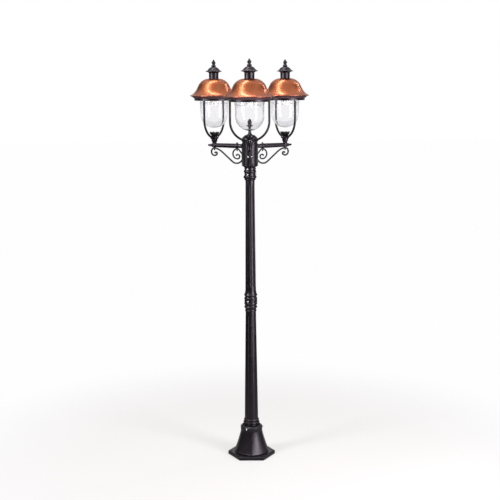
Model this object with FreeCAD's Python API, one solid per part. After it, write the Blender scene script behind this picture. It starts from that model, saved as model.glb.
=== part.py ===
import FreeCAD
import Part
import math
import os

# Triple head lamp post for a garden, in millimetres. It stands on the ground at z = 0, the post is on
# the Z axis, and one lantern points towards -Y. The other two are a third of a turn to each side.

V = FreeCAD.Vector
UP = V(0, 0, 1)
ORIGIN = V(0, 0, 0)

# Arrangement
LANTERN_NAMES = {"front": -90.0, "right": 30.0, "left": 150.0}
arm_reach = 234.5
screw_azimuth = -117.0
screws_per_joint = 3

# Clearances
slip_gap = 0.2
moving_gap = 0.3

# Base casting: six sided plinth and a bell with six bulged faces
plinth_radius = 139.0
plinth_height = 21.0
plinth_chamfer = 5.0
plinth_rim = 9.0
bell_height = 160.0
bell_ridge_radius = 105.0
bell_face_radius = 101.0
bell_foot_inset = 5.0
bell_foot_height = 5.0
bell_neck_radius = 62.4
bell_rim_radius = 63.6
bell_rim_height = 30.0
bell_rim_chamfer = 8.0
bell_rim_wall = 9.0
bell_recess_depth = 19.0
casting_wall = 6.0
anchor_circle_radius = 118.0
anchor_hole_radius = 5.5
anchor_boss_radius = 12.0
sleeve_depth = 42.0
sleeve_wall = 6.0
ledge_thickness = 5.0

# Foot collar
foot_neck_radius = 41.5
foot_collar_height = 41.0
foot_ring_radius = 47.6
foot_small_ring_radius = 43.6
foot_ring_level = 18.0
foot_bead_radius = 44.2
foot_bead_level = 6.0
foot_groove_radius = 42.0
foot_small_ring_level = 33.0
collar_lip = 1.2

# Posts
lower_post_length = 642.0
lower_post_foot_radius = 39.3
lower_post_head_radius = 30.0
lower_spigot_radius = 34.0
lower_spigot_length = 72.0
post_wall = 4.0
upper_post_length = 640.0
upper_post_foot_radius = 30.6
upper_post_head_radius = 26.0
joint_spigot_radius = 25.8
joint_spigot_length = 40.0
head_spigot_radius = 21.0
head_spigot_length = 38.0
flute_count = 12
flute_tool_radius = 4.2
flute_depth = 1.9
flute_end_margin = 30.0
lower_flute_azimuth = -82.0
upper_flute_azimuth = -90.0

# Mid collar
mid_collar_height = 120.0
mid_sharp_ring_radius = 38.4
mid_round_ring_radius = 37.7
mid_neck_radius = 36.0
mid_groove_radius = 33.6
mid_bead_radius = 32.2
mid_web = 8.0
cable_hole_radius = 14.0

# Top collar
top_collar_height = 70.0
top_lower_ring_radius = 37.4
top_upper_ring_radius = 35.9
top_neck_radius = 31.5
top_bead_radius = 31.6
top_web = 5.0

# Hub
hub_height = 154.0
hub_radius = 42.7
hub_lip_radius = 46.6
hub_wall = 7.0
hub_foot_height = 3.0
hub_chamfer = 11.0
hub_lip_height = 5.5
hub_spigot_radius = 24.0
hub_spigot_length = 26.0
hub_floor = 6.0
hub_bar_width = 16.0
hub_bar_thickness = 8.0
cap_height = 31.0
cap_wall = 4.0
cap_lip_height = 6.0
finial_height = 90.0
finial_stud_radius = 4.9
tip_flat_radius = 1.0
terminal_width = 32.0
terminal_depth = 14.0
terminal_height = 24.0

# Arms
arm_drop = 32.5
arm_root_radius = 13.4
arm_end_radius = 11.8
arm_neck_radius = 12.0
arm_bore_radius = 4.5
pad_half_angle = 27.0
pad_thickness = 3.7
pad_head_margin = 16.0
arm_spigot_radius = 9.0
spike_reach = 83.5
spike_ring_radius = 15.2
spike_ring_length = 10.0
spike_height = 21.5
spike_radius = 5.2
stem_boss_radius = 12.4
tip_overhang = 37.0
tip_ball_radius = 6.2
tip_step_radius = 8.6
tip_neck_radius = 4.6
bolt_drop = 57.5
bolt_half_angle = 13.5
bolt_shank_radius = 3.9
bolt_head_radius = 5.6
bolt_head_height = 5.2
bolt_head_skirt = 1.2

# Scrolls: each turn is a bend radius and an angle in degrees. The long one starts on the pad below the
# small one, and the radius of its first turn follows from that and from the arm's reach
outer_rod_radius = 4.8
outer_scroll_heading = -67.5
outer_rise_angle = 105.4
outer_crown = (97.8, 31.2)
scroll_root_pitch = 21.0
outer_curl = [(20.9, 232.8), (7.4, 180.0)]
inner_rod_radius = 4.3
inner_scroll_heading = 49.4
inner_crown = (10.0, 32.0)
inner_curl = [(27.7, 214.0), (11.9, 210.0)]
scroll_end_extra = 0.9
seat_gap = 0.1
scroll_screw_radius = 2.0
scroll_screw_grip = 6.0
scroll_ball_radius = 4.3

# Lamp stem and crown
stem_rise = 42.7
stem_spigot_radius = 7.4
stem_spigot_length = 11.0
stem_foot_radius = 11.8
stem_bulge_radius = 17.6
stem_collar_radius = 24.0
stem_collar_height = 8.0
stem_flutes = 8
stem_flute_radius = 4.0
stem_flute_depth = 1.5
crown_height = 34.0
crown_waist_radius = 15.4
crown_mouth_radius = 27.0
crown_wall = 3.0
petal_slot_width = 4.6
petal_slot_depth = 11.0
clamp_screw_reach = 19.6
clamp_screw_head_radius = 3.4
clamp_screw_head_height = 2.4
clamp_screw_length = 12.0
wire_hole_radius = 3.4

# Harp, whose ends stand inside the wall of the glass ring
harp_ring_inset = 6.3
harp_leg_length = 105.8
harp_tube_radius = 6.1
harp_tube_wall = 1.8
harp_spigot_radius = 4.4
harp_spigot_bore = 2.8
harp_spigot_length = 7.0

# Glass ring, glass and what hangs in it
ring_shelf = 32.3
ring_height = 18.0
ring_wall = 3.0
ring_floor = 3.0
ring_boss_radius = 7.0
ring_wire_hole_radius = 2.1
ring_screw_radius = 2.0
ring_screw_head_radius = 3.0
ring_screw_head_height = 1.4
glass_radius = 80.0
glass_wall = 3.0
glass_body_height = 75.3
glass_bead = 1.2
glass_bead_drop = 15.3
glass_flange = 7.0
glass_flange_height = 4.0
glass_side_gap = 1.3
gasket_height = 2.0
bridge_width = 24.0
bridge_thickness = 2.0
bridge_screw_inset = 14.3
bridge_boss_radius = 5.5
bridge_wire_hole_radius = 2.5
bridge_wire_hole_reach = 15.0
holder_height = 36.0
holder_skirt_radius = 20.5
holder_neck_radius = 15.0
holder_shell_radius = 13.3
holder_shell_depth = 27.0
rod_radius = 3.0
rod_nut_radius = 5.8
rod_nut_height = 5.0
rod_tail = 6.0
rod_tip_gap = 0.3

# Roof: its shoulder, waist and flare are an inset from the brim and a drop from the crown
roof_height = 105.0
roof_brim_overhang = 20.7
roof_brim_rise = 11.0
roof_brim_bead = 1.8
roof_sheet = 1.6
roof_crest_radius = 40.0
roof_shoulder = (58.5, 20.0)
roof_waist = (37.5, 53.0)
roof_flare = (23.0, 77.5)
rod_hole_gap = 0.8

# Chimney cap and finial on the roof
chimney_height = 65.0
chimney_radius = 27.7
chimney_brim_radius = 44.4
chimney_brim_level = 40.5
chimney_wall = 2.5
chimney_top_radius = 13.0
nut_height = 42.0
nut_ring_radius = 13.4
nut_acorn_radius = 11.4
nut_neck_radius = 8.1
nut_bore_depth = 18.0

# Levels, from the ground up
bell_top = plinth_height + bell_height
foot_collar_top = bell_top + foot_collar_height
lower_post_top = foot_collar_top + lower_post_length
mid_collar_top = lower_post_top + mid_collar_height
upper_post_top = mid_collar_top + upper_post_length
top_collar_top = upper_post_top + top_collar_height
hub_top = top_collar_top + hub_height
arm_level = hub_top - arm_drop
ring_radius = glass_radius + ring_shelf
harp_radius = ring_radius - harp_ring_inset
bridge_screw_reach = ring_radius - bridge_screw_inset
roof_brim_radius = ring_radius + roof_brim_overhang
harp_low = arm_level + stem_rise
harp_centre = harp_low + harp_radius
ring_level = harp_centre + harp_leg_length
ring_top = ring_level + ring_height
glass_seat = ring_level + ring_floor + gasket_height
bridge_level = glass_seat + glass_flange_height + moving_gap
roof_level = ring_top + moving_gap
roof_top = roof_level + roof_height
chimney_top = roof_top + chimney_height
sleeve_radius = foot_neck_radius + slip_gap
recess_floor = bell_top - bell_recess_depth
ledge_top = recess_floor - sleeve_depth
hub_lip_foot = top_collar_top + hub_foot_height + hub_chamfer
hub_lip_top = hub_lip_foot + hub_lip_height
pad_radius = hub_radius + slip_gap + pad_thickness
tip_ball_reach = arm_reach + tip_overhang
glass_room = glass_radius + glass_bead + glass_side_gap
rod_hole_radius = rod_radius + rod_hole_gap


def lathe(steps):
    """Turn a closed outline round Z. A step is (r, z) for a straight, or a pair of such points for an
    arc through the first to the second."""
    edges = []
    here = V(steps[0][0], 0, steps[0][1])
    first = here
    for step in steps[1:] + [steps[0]]:
        if isinstance(step[0], tuple):
            middle = V(step[0][0], 0, step[0][1])
            there = V(step[1][0], 0, step[1][1])
            edges.append(Part.Arc(here, middle, there).toShape())
        else:
            there = V(step[0], 0, step[1])
            if there.distanceToPoint(here) > 1e-6:
                edges.append(Part.LineSegment(here, there).toShape())
        here = there
    if here.distanceToPoint(first) > 1e-6:
        raise ValueError("the outline is open")
    return Part.Face(Part.Wire(edges)).revolve(ORIGIN, UP, 360)


def rod(radius, start, end):
    """A round bar from one point to another."""
    run = end - start
    return Part.makeCylinder(radius, run.Length, start, run)


def turned(shape, degrees):
    """A copy of the shape turned round the post axis."""
    return shape.rotated(ORIGIN, UP, degrees)


def at_lantern(shape):
    """Move a shape made round Z out to the lantern axis, in the arm's own frame."""
    return shape.translated(V(arm_reach, 0, 0))


def polar(radius, degrees, z):
    """A point at a radius and an azimuth."""
    angle = math.radians(degrees)
    return V(radius * math.cos(angle), radius * math.sin(angle), z)


def hexagon(radius, z):
    """A six sided wire with corners on the X axis."""
    return Part.makePolygon([polar(radius, 60 * i, z) for i in range(7)])


def bulged_ring(ridge_radius, face_radius, z):
    """Six arcs between ridges, one ridge at the front, each passing the middle of a face."""
    arcs = []
    for i in range(6):
        start = polar(ridge_radius, 30 + 60 * i, z)
        middle = polar(face_radius, 60 + 60 * i, z)
        end = polar(ridge_radius, 90 + 60 * i, z)
        arcs.append(Part.Arc(start, middle, end).toShape())
    return Part.Wire(arcs)


def bell_stations(inset):
    """Radius of ridge and face at each height of the flare, from the top of its foot to the rim."""
    flare = bell_face_radius - bell_neck_radius
    ridge = bell_ridge_radius - bell_face_radius
    foot = plinth_height + bell_foot_height
    height = bell_height - bell_foot_height - bell_rim_height
    stations = []
    for share, spread in ((0.0, 1.0), (0.12, 0.76), (0.27, 0.52), (0.46, 0.29), (0.68, 0.11), (1.0, 0.0)):
        face = bell_neck_radius + flare * spread - inset
        stations.append((face + ridge * spread, face, foot + height * share))
    return stations


def make_base_casting():
    """Plinth and bell in one hollow casting, open below, with a sleeve for the foot collar."""
    straight = plinth_height - plinth_chamfer
    plinth = Part.Face(hexagon(plinth_radius, 0)).extrude(V(0, 0, straight))
    shoulder = Part.makeLoft([hexagon(plinth_radius, straight),
                              hexagon(plinth_radius - plinth_chamfer, plinth_height)], True, True)
    widest = bell_foot_inset / 2
    foot = Part.makeLoft([bulged_ring(bell_ridge_radius - bell_foot_inset, bell_face_radius - bell_foot_inset,
                                      plinth_height),
                          bulged_ring(bell_ridge_radius, bell_face_radius, plinth_height + widest),
                          bulged_ring(bell_ridge_radius, bell_face_radius, plinth_height + bell_foot_height)],
                         True, True)
    bell = Part.makeLoft([bulged_ring(*s) for s in bell_stations(0)], True)
    rim_foot = bell_top - bell_rim_height
    chamfer_foot = bell_top - bell_rim_chamfer
    mouth = bell_rim_radius - bell_rim_wall - bell_rim_chamfer / 2
    rim = lathe([(0, rim_foot), (bell_rim_radius, rim_foot), (bell_rim_radius, chamfer_foot),
                 (bell_rim_radius - bell_rim_chamfer, bell_top), (0, bell_top)])
    body = plinth.fuse([shoulder, foot, bell, rim])

    hollow_floor = plinth_height - casting_wall
    under_plinth = Part.Face(hexagon(plinth_radius - plinth_rim, 0)).extrude(V(0, 0, hollow_floor))
    inside = bell_stations(casting_wall)
    ridge, face, level = inside[0]
    inside[0] = (ridge - bell_foot_inset, face - bell_foot_inset, level)
    skirt = Part.Face(bulged_ring(ridge - bell_foot_inset, face - bell_foot_inset, 0)).extrude(V(0, 0, level))
    inner_bell = Part.makeLoft([bulged_ring(*s) for s in inside], True)
    inner_rim = Part.makeCylinder(bell_neck_radius - casting_wall, recess_floor - casting_wall - rim_foot,
                                  V(0, 0, rim_foot))
    recess = Part.makeCylinder(mouth, bell_recess_depth, V(0, 0, recess_floor))
    hollow = under_plinth.fuse([skirt, inner_bell, inner_rim, recess])
    sleeve = Part.makeCylinder(sleeve_radius + sleeve_wall, recess_floor - ledge_top + ledge_thickness,
                               V(0, 0, ledge_top - ledge_thickness))
    bosses = [Part.makeCylinder(anchor_boss_radius, hollow_floor, polar(anchor_circle_radius, a, 0))
              for a in range(0, 360, 60)]
    body = body.cut(hollow).fuse([sleeve] + bosses)

    cuts = [Part.makeCylinder(sleeve_radius, bell_top, V(0, 0, ledge_top)),
            Part.makeCylinder(lower_spigot_radius, bell_top)]
    for a in range(0, 360, 60):
        cuts.append(Part.makeCylinder(anchor_hole_radius, plinth_height, polar(anchor_circle_radius, a, 0)))
    for spot in foot_screw_places():
        cuts.append(rod(bolt_shank_radius + slip_gap, polar(mouth - 1, spot[0], spot[1]),
                        polar(bell_rim_radius + 1, spot[0], spot[1])))
    return body.cut(cuts).removeSplitter()


def screw_azimuths():
    """Directions of the set screws round one joint."""
    return [screw_azimuth + 360.0 * i / screws_per_joint for i in range(screws_per_joint)]


def foot_screw_places():
    """Azimuth and height of the screws in the bell's rim."""
    return [(a, bell_top - bell_rim_chamfer - bolt_head_radius) for a in screw_azimuths()]


def dome_screws(places, tip_radius, seat_radius):
    """Dome headed screws pointing at the post axis, from the tip to the head's seat."""
    rise = bolt_head_height - bolt_head_skirt
    ball_radius = (bolt_head_radius ** 2 + rise ** 2) / (2 * rise)
    ball = Part.makeSphere(ball_radius, V(0, 0, bolt_head_height - ball_radius))
    dome = ball.common(Part.makeCylinder(bolt_head_radius, bolt_head_height))
    shank = Part.makeCylinder(bolt_shank_radius, seat_radius - tip_radius,
                              V(0, 0, tip_radius - seat_radius))
    screw = dome.fuse(shank)
    screws = []
    for azimuth, level in places:
        lying = screw.rotated(ORIGIN, V(0, 1, 0), 90).translated(V(seat_radius, 0, level))
        screws.append(turned(lying, azimuth))
    return screws


def make_foot_collar():
    """Neck that drops into the bell's sleeve, with two rings above."""
    foot = ledge_top
    neck = foot_neck_radius
    bore = lower_spigot_radius + slip_gap
    ring = bell_top + foot_ring_level
    small = bell_top + foot_small_ring_level
    lip = lower_post_foot_radius + collar_lip
    bead = bell_top + foot_bead_level
    return lathe([(bore, foot), (neck, foot), (neck, bead - 4.0),
                  ((foot_bead_radius, bead), (foot_groove_radius, bead + 4.2)),
                  ((foot_ring_radius, ring), (neck, ring + 7.2)),
                  ((foot_small_ring_radius, small), (lip, foot_collar_top - 3.0)),
                  (lip, foot_collar_top), (bore, foot_collar_top)])


def fluted(shape, foot, length, foot_radius, head_radius, azimuth):
    """Cut round ended flutes that follow the taper."""
    margin = flute_end_margin
    taper = (head_radius - foot_radius) / length
    lift = flute_tool_radius - flute_depth
    low = foot_radius + taper * margin + lift
    high = foot_radius + taper * (length - margin) + lift
    start = V(low, 0, foot + margin)
    end = V(high, 0, foot + length - margin)
    groove = rod(flute_tool_radius, start, end)
    ends = [Part.makeSphere(flute_tool_radius, start), Part.makeSphere(flute_tool_radius, end)]
    tool = groove.fuse(ends).removeSplitter()
    return shape.cut([turned(tool, azimuth + 360.0 * i / flute_count) for i in range(flute_count)])


def make_lower_post():
    """Tapered fluted tube with a long foot spigot and a short head spigot."""
    foot = foot_collar_top
    tail = foot - lower_spigot_length
    head = lower_post_top + joint_spigot_length - slip_gap
    tube = lathe([(lower_spigot_radius - post_wall, tail), (lower_spigot_radius, tail),
                  (lower_spigot_radius, foot), (lower_post_foot_radius, foot),
                  (lower_post_head_radius, lower_post_top), (joint_spigot_radius, lower_post_top),
                  (joint_spigot_radius, head), (joint_spigot_radius - post_wall, head)])
    return fluted(tube, foot, lower_post_length, lower_post_foot_radius, lower_post_head_radius,
                  lower_flute_azimuth)


def make_mid_collar():
    """Moulded collar that joins the two tubes, with a web between their spigots."""
    foot = lower_post_top
    top = mid_collar_top
    bore = joint_spigot_radius + slip_gap
    web_foot = foot + joint_spigot_length
    low_lip = lower_post_head_radius + collar_lip
    high_lip = upper_post_foot_radius + collar_lip
    middle = foot + mid_collar_height / 2
    outline = [(bore, foot), (low_lip, foot), ((mid_bead_radius + 0.9, foot + 5), (low_lip, foot + 10)),
               ((low_lip + 1.2, foot + 18), (mid_sharp_ring_radius, foot + 25)),
               (mid_sharp_ring_radius, foot + 27),
               ((mid_groove_radius, foot + 35.5), (mid_round_ring_radius - 1.5, middle - 17)),
               ((mid_round_ring_radius, middle - 13), (mid_neck_radius, middle - 8.5)),
               (mid_neck_radius, middle + 11.5),
               ((mid_round_ring_radius, middle + 17), (mid_round_ring_radius - 1.5, middle + 21)),
               ((mid_groove_radius, middle + 28), (mid_sharp_ring_radius, top - 25)),
               (mid_sharp_ring_radius, top - 22.5),
               ((high_lip + 2.0, top - 12), (high_lip, top)), (bore, top),
               (bore, web_foot + mid_web), (cable_hole_radius, web_foot + mid_web),
               (cable_hole_radius, web_foot), (bore, web_foot)]
    collar = lathe(outline)
    holes = [rod(bolt_shank_radius + slip_gap, polar(bore - 1, a, z), polar(mid_round_ring_radius + 1, a, z))
             for a, z in mid_screw_places()]
    return collar.cut(holes)


def mid_screw_places():
    """Azimuth and height of the screws in the neck of the mid collar."""
    return [(a, lower_post_top + mid_collar_height / 2 + 1.5) for a in screw_azimuths()]


def make_upper_post():
    """Upper fluted tube, with a spigot at each end."""
    foot = mid_collar_top
    tail = lower_post_top + joint_spigot_length + mid_web + slip_gap
    head = upper_post_top + head_spigot_length - slip_gap
    tube = lathe([(joint_spigot_radius - post_wall, tail), (joint_spigot_radius, tail),
                  (joint_spigot_radius, foot), (upper_post_foot_radius, foot),
                  (upper_post_head_radius, upper_post_top), (head_spigot_radius, upper_post_top),
                  (head_spigot_radius, head), (head_spigot_radius - post_wall, head)])
    return fluted(tube, foot, upper_post_length, upper_post_foot_radius, upper_post_head_radius,
                  upper_flute_azimuth)


def make_top_collar():
    """Collar between the upper tube and the hub, with two rings."""
    foot = upper_post_top
    top = top_collar_top
    low_bore = head_spigot_radius + slip_gap
    high_bore = hub_spigot_radius + slip_gap
    web_foot = foot + head_spigot_length
    lip = upper_post_head_radius + collar_lip
    collar = lathe([(low_bore, foot), (lip, foot), ((top_bead_radius, foot + 4), (lip + 1.0, foot + 9)),
                    ((top_lower_ring_radius, foot + 18.5), (top_neck_radius, foot + 27)),
                    (top_neck_radius, foot + 42),
                    ((top_upper_ring_radius, foot + 49.5), (top_neck_radius, foot + 57)),
                    (top_neck_radius, top), (high_bore, top), (high_bore, web_foot + top_web),
                    (cable_hole_radius, web_foot + top_web), (cable_hole_radius, web_foot),
                    (low_bore, web_foot)])
    holes = []
    for azimuth, level, tip in top_screw_places():
        holes.append(rod(bolt_shank_radius + slip_gap, polar(tip - 1, azimuth, level),
                         polar(top_lower_ring_radius, azimuth, level)))
    return collar.cut(holes)


def top_screw_places():
    """Azimuth, height and tip radius of the screws that hold the tube and the hub."""
    lower = [(a, upper_post_top + 33.5, head_spigot_radius + slip_gap) for a in screw_azimuths()]
    upper = [(a, upper_post_top + 63.5, hub_spigot_radius + slip_gap) for a in screw_azimuths()]
    return lower + upper


def make_hub_body():
    """Drum that carries the arms, with a spigot below and a cross bar for the finial stud."""
    foot = top_collar_top
    lip = hub_lip_radius
    lip_foot = hub_lip_foot
    inner = hub_radius - hub_wall
    floor_top = lip_foot + hub_floor
    tail = foot - hub_spigot_length
    drum = lathe([(cable_hole_radius, tail), (hub_spigot_radius, tail), (hub_spigot_radius, foot),
                  (top_neck_radius, foot), (top_neck_radius, foot + hub_foot_height),
                  (lip, lip_foot), (lip, lip_foot + hub_lip_height - 2),
                  (hub_radius, hub_lip_top), (hub_radius, hub_top - hub_lip_height),
                  (lip, hub_top - hub_lip_height), (lip, hub_top), (inner, hub_top), (inner, floor_top),
                  (cable_hole_radius, floor_top)])
    bar_foot = hub_top - cap_lip_height - slip_gap - hub_bar_thickness
    bar = Part.makeBox(2 * inner + 1, hub_bar_width, hub_bar_thickness,
                       V(-inner - 0.5, -hub_bar_width / 2, bar_foot))
    holes = [Part.makeCylinder(finial_stud_radius + slip_gap, hub_bar_thickness + 2,
                               V(0, 0, bar_foot - 1))]
    for azimuth in LANTERN_NAMES.values():
        spots = [rod(arm_spigot_radius + slip_gap, V(inner - 2, 0, arm_level), V(hub_lip_radius, 0, arm_level))]
        holes += [turned(s, azimuth) for s in spots + arm_bolt_holes()]
    return drum.fuse(bar).cut(holes).removeSplitter()


def make_hub_cap():
    """Domed lid of the hub, with a locating lip inside and a hole for the stud."""
    foot = hub_top
    top = hub_top + cap_height
    inner = hub_radius - hub_wall - slip_gap
    hole = finial_stud_radius + slip_gap
    return lathe([(hole, top), (17.5, top), ((34.5, top - 6.5), (44.0, top - 19)),
                  (hub_lip_radius - 1.0, foot + 6), (hub_lip_radius, foot), (inner, foot),
                  (inner, foot - cap_lip_height), (inner - cap_wall, foot - cap_lip_height),
                  (inner - cap_wall, foot + 8), ((inner * 0.62, top - cap_wall - 7), (hole, top - cap_wall - 2))])


def make_hub_finial():
    """Turned spear on top of the hub, with its stud through the cap into the cross bar."""
    foot = hub_top + cap_height
    top = foot + finial_height
    stud_end = hub_top - cap_lip_height - hub_bar_thickness
    return lathe([(0, stud_end), (finial_stud_radius, stud_end), (finial_stud_radius, foot),
                  (17.0, foot), ((10.4, foot + 9), (8.2, foot + 26)),
                  ((12.0, foot + 35.5), (21.2, foot + 43)), (21.2, foot + 47),
                  ((12.5, foot + 51.5), (9.4, foot + 57)),
                  ((12.6, foot + 60), (13.5, foot + 68)), ((8.8, top - 9), (tip_flat_radius, top)), (0, top)])


def make_terminal_block():
    """Cable terminals standing on the hub's floor, off the axis, with three ways through."""
    foot = hub_lip_foot + hub_floor
    behind = cable_hole_radius + 2
    block = Part.makeBox(terminal_width, terminal_depth, terminal_height,
                         V(-terminal_width / 2, behind, foot))
    cuts = []
    for i in (-1, 0, 1):
        x = i * terminal_width / 3
        cuts.append(Part.makeCylinder(2.5, terminal_depth / 2 + 1, V(x, behind - 1, foot + terminal_height / 2),
                                      V(0, 1, 0)))
        if i < 1:
            cuts.append(Part.makeBox(1.6, terminal_depth + 2, 5,
                                     V(x + terminal_width / 6 - 0.8, behind - 1, foot + terminal_height - 5)))
    return block.cut(cuts)


def make_arm():
    """Cast arm in its own frame, along +X: hub pad, tapering tube, spiked ring, stem boss and ball tip."""
    z = arm_level
    pad_back = hub_radius + slip_gap
    foot = hub_lip_top + moving_gap
    head = hub_top - pad_head_margin
    slab = Part.makeCylinder(pad_radius, head - foot, V(0, 0, foot), UP, 2 * pad_half_angle)
    slab = slab.cut(Part.makeCylinder(pad_back, head - foot + 2, V(0, 0, foot - 1)))
    pad = turned(slab, -pad_half_angle)
    spigot = rod(arm_spigot_radius, V(hub_radius - hub_wall + 1, 0, z), V(pad_radius, 0, z))
    root = lathe([(0, pad_radius - 2), (arm_root_radius + 4, pad_radius - 2), (arm_root_radius + 4, pad_radius + 1),
                  ((arm_neck_radius + 1, pad_radius + 3.5), (arm_neck_radius, pad_radius + 8)),
                  (arm_neck_radius, spike_reach - 14),
                  ((arm_neck_radius + 1.2, spike_reach - 8), (spike_ring_radius, spike_reach - spike_ring_length / 2)),
                  (spike_ring_radius, spike_reach + spike_ring_length / 2),
                  (arm_root_radius, spike_reach + spike_ring_length / 2),
                  (arm_end_radius, arm_reach), (tip_step_radius + 2, arm_reach + stem_boss_radius + 3),
                  (tip_step_radius, arm_reach + stem_boss_radius + 4),
                  (tip_step_radius, arm_reach + stem_boss_radius + 11),
                  (tip_neck_radius, tip_ball_reach - tip_ball_radius + 1),
                  (tip_neck_radius, tip_ball_reach), (0, tip_ball_reach)])
    root = root.rotated(ORIGIN, V(0, 1, 0), 90).translated(V(0, 0, z))
    ball = Part.makeSphere(tip_ball_radius, V(tip_ball_reach, 0, z))
    spike = lathe([(0, z), (spike_radius, z), (spike_radius, z + arm_root_radius + 1),
                   ((spike_radius - 0.6, z + arm_root_radius + 3.5), (0, z + spike_height))])
    boss = Part.makeCylinder(stem_boss_radius, arm_end_radius + stem_boss_radius,
                             V(arm_reach, 0, z - arm_end_radius))
    body = pad.fuse([spigot, root, ball, boss, spike.translated(V(spike_reach, 0, 0))])

    cable = rod(arm_bore_radius, V(hub_radius - hub_wall, 0, z), V(arm_reach, 0, z))
    socket = Part.makeCylinder(stem_spigot_radius + slip_gap, stem_spigot_length + slip_gap,
                               V(arm_reach, 0, z + stem_boss_radius - stem_spigot_length - slip_gap))
    well = Part.makeCylinder(arm_bore_radius, stem_boss_radius, V(arm_reach, 0, z))
    inside_drum = Part.makeCylinder(hub_radius - hub_wall, 60, V(0, 0, z - 30))
    level_under = Part.makeBox(spike_ring_length + 4, 2 * inner_rod_radius, spike_ring_radius,
                               V(spike_reach - spike_ring_length / 2 - 2, -inner_rod_radius,
                                 z - arm_root_radius - spike_ring_radius))
    cuts = [cable, socket, well, inside_drum, level_under]
    cuts += arm_bolt_holes() + scroll_screw_shanks(0)
    return body.cut(cuts).removeSplitter()


def arm_bolt_places():
    """Azimuth from the arm's own and height of the two bolts of its pad."""
    return [(side * bolt_half_angle, arm_level - bolt_drop) for side in (-1, 1)]


def arm_bolt_holes():
    """Clearance holes for those bolts, through the drum wall and the pad."""
    return [rod(bolt_shank_radius + slip_gap, polar(hub_radius - hub_wall - 2, offset, level),
                polar(pad_radius + 1, offset, level)) for offset, level in arm_bolt_places()]


def make_arm_bolts():
    """Two dome headed bolts for each arm, through its pad into the drum wall."""
    places = []
    for azimuth in LANTERN_NAMES.values():
        places += [(azimuth + offset, level) for offset, level in arm_bolt_places()]
    return Part.makeCompound(dome_screws(places, hub_radius - hub_wall, pad_radius))


def bent_bar(radius, start, heading, moves):
    """A round bar bent in the XZ plane, as straight lengths and parts of rings, and its end point. Each
    move is (length, 0) for a straight or (bend radius, degrees), where a positive angle turns upwards."""
    pieces = []
    here = start
    angle = heading
    for size, degrees in moves:
        along = V(math.cos(math.radians(angle)), 0, math.sin(math.radians(angle)))
        disc = Part.Face(Part.Wire(Part.makeCircle(radius, here, along)))
        if degrees == 0:
            pieces.append(disc.extrude(along * size))
            here = here + along * size
            continue
        side = math.copysign(1, degrees)
        centre = here + V(-along.z, 0, along.x) * (side * size)
        pieces.append(disc.revolve(centre, V(0, -side, 0), abs(degrees)))
        out = FreeCAD.Rotation(V(0, -side, 0), abs(degrees)).multVec(here - centre)
        here = centre + out
        angle += degrees
    return pieces[0].fuse(pieces[1:]).removeSplitter(), here


def scroll_rod(radius, start, heading, moves):
    """A bent rod with a ball on its free end, cut to the face of the pad."""
    bar, end = bent_bar(radius, start, heading, moves)
    along = V(math.cos(math.radians(heading)), 0, math.sin(math.radians(heading)))
    lead = rod(radius, start - along * (2 * radius), start)
    ball = Part.makeSphere(radius + scroll_end_extra, end)
    drum = Part.makeCylinder(pad_radius, 12 * radius, V(0, 0, start.z - 6 * radius))
    return bar.fuse([lead, ball]).cut(drum).removeSplitter()


def bend_span(radius, heading, degrees):
    """How far a bend runs outward and upward."""
    first = math.radians(heading)
    last = math.radians(heading + degrees)
    side = math.copysign(1, degrees)
    return side * radius * (math.sin(last) - math.sin(first)), side * radius * (math.cos(first) - math.cos(last))


def outer_scroll_route():
    """Start, heading and moves of the long scroll, whose crest touches the arm under the lantern. What
    its crown and curl leave of the way from pad to crest is covered by its first turn, whose span is its
    radius times a fixed slope, and by the straight after it. Those are two unknowns in two equations."""
    crown_radius, crown_angle = outer_crown
    curl_radius, curl_angle = outer_curl[0]
    climb = outer_scroll_heading + outer_rise_angle
    run_2, up_2 = bend_span(crown_radius, climb, -crown_angle)
    run_3, up_3 = bend_span(curl_radius, climb - crown_angle, crown_angle - climb)
    start = inner_scroll_route()[0].z - scroll_root_pitch
    crest = arm_level - arm_end_radius - outer_rod_radius - seat_gap
    run = arm_reach - pad_radius - run_2 - run_3
    up = crest - start - up_2 - up_3
    run_per_radius, up_per_radius = bend_span(1, outer_scroll_heading, outer_rise_angle)
    cosine = math.cos(math.radians(climb))
    sine = math.sin(math.radians(climb))
    rise_radius = (run * sine - up * cosine) / (run_per_radius * sine - up_per_radius * cosine)
    straight = (run - run_per_radius * rise_radius) / cosine
    moves = [(rise_radius, outer_rise_angle), (straight, 0), (crown_radius, -crown_angle)]
    moves += [(radius, -angle) for radius, angle in outer_curl]
    return V(pad_radius, 0, start), outer_scroll_heading, moves


def inner_scroll_route():
    """Start, heading and moves of the small scroll, whose crest touches the arm under its spiked ring."""
    heading = inner_scroll_heading
    crown_radius, crown_angle = inner_crown
    curl_radius, curl_angle = inner_curl[0]
    over = heading - crown_angle
    run_1, up_1 = bend_span(crown_radius, heading, -crown_angle)
    run_2, up_2 = bend_span(curl_radius, over, -over)
    straight = (spike_reach - pad_radius - run_1 - run_2) / math.cos(math.radians(heading))
    crest = arm_level - arm_root_radius - inner_rod_radius - seat_gap
    start = crest - up_1 - up_2 - straight * math.sin(math.radians(heading))
    moves = [(straight, 0), (crown_radius, -crown_angle)] + [(radius, -angle) for radius, angle in inner_curl]
    return V(pad_radius, 0, start), heading, moves


def scroll_seats():
    """Reach, height of the rod's underside and rod radius where each scroll meets the arm."""
    outer = (arm_reach, arm_level - arm_end_radius - 2 * outer_rod_radius - seat_gap, outer_rod_radius)
    inner = (spike_reach, arm_level - arm_root_radius - 2 * inner_rod_radius - seat_gap, inner_rod_radius)
    return [outer, inner]


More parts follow.
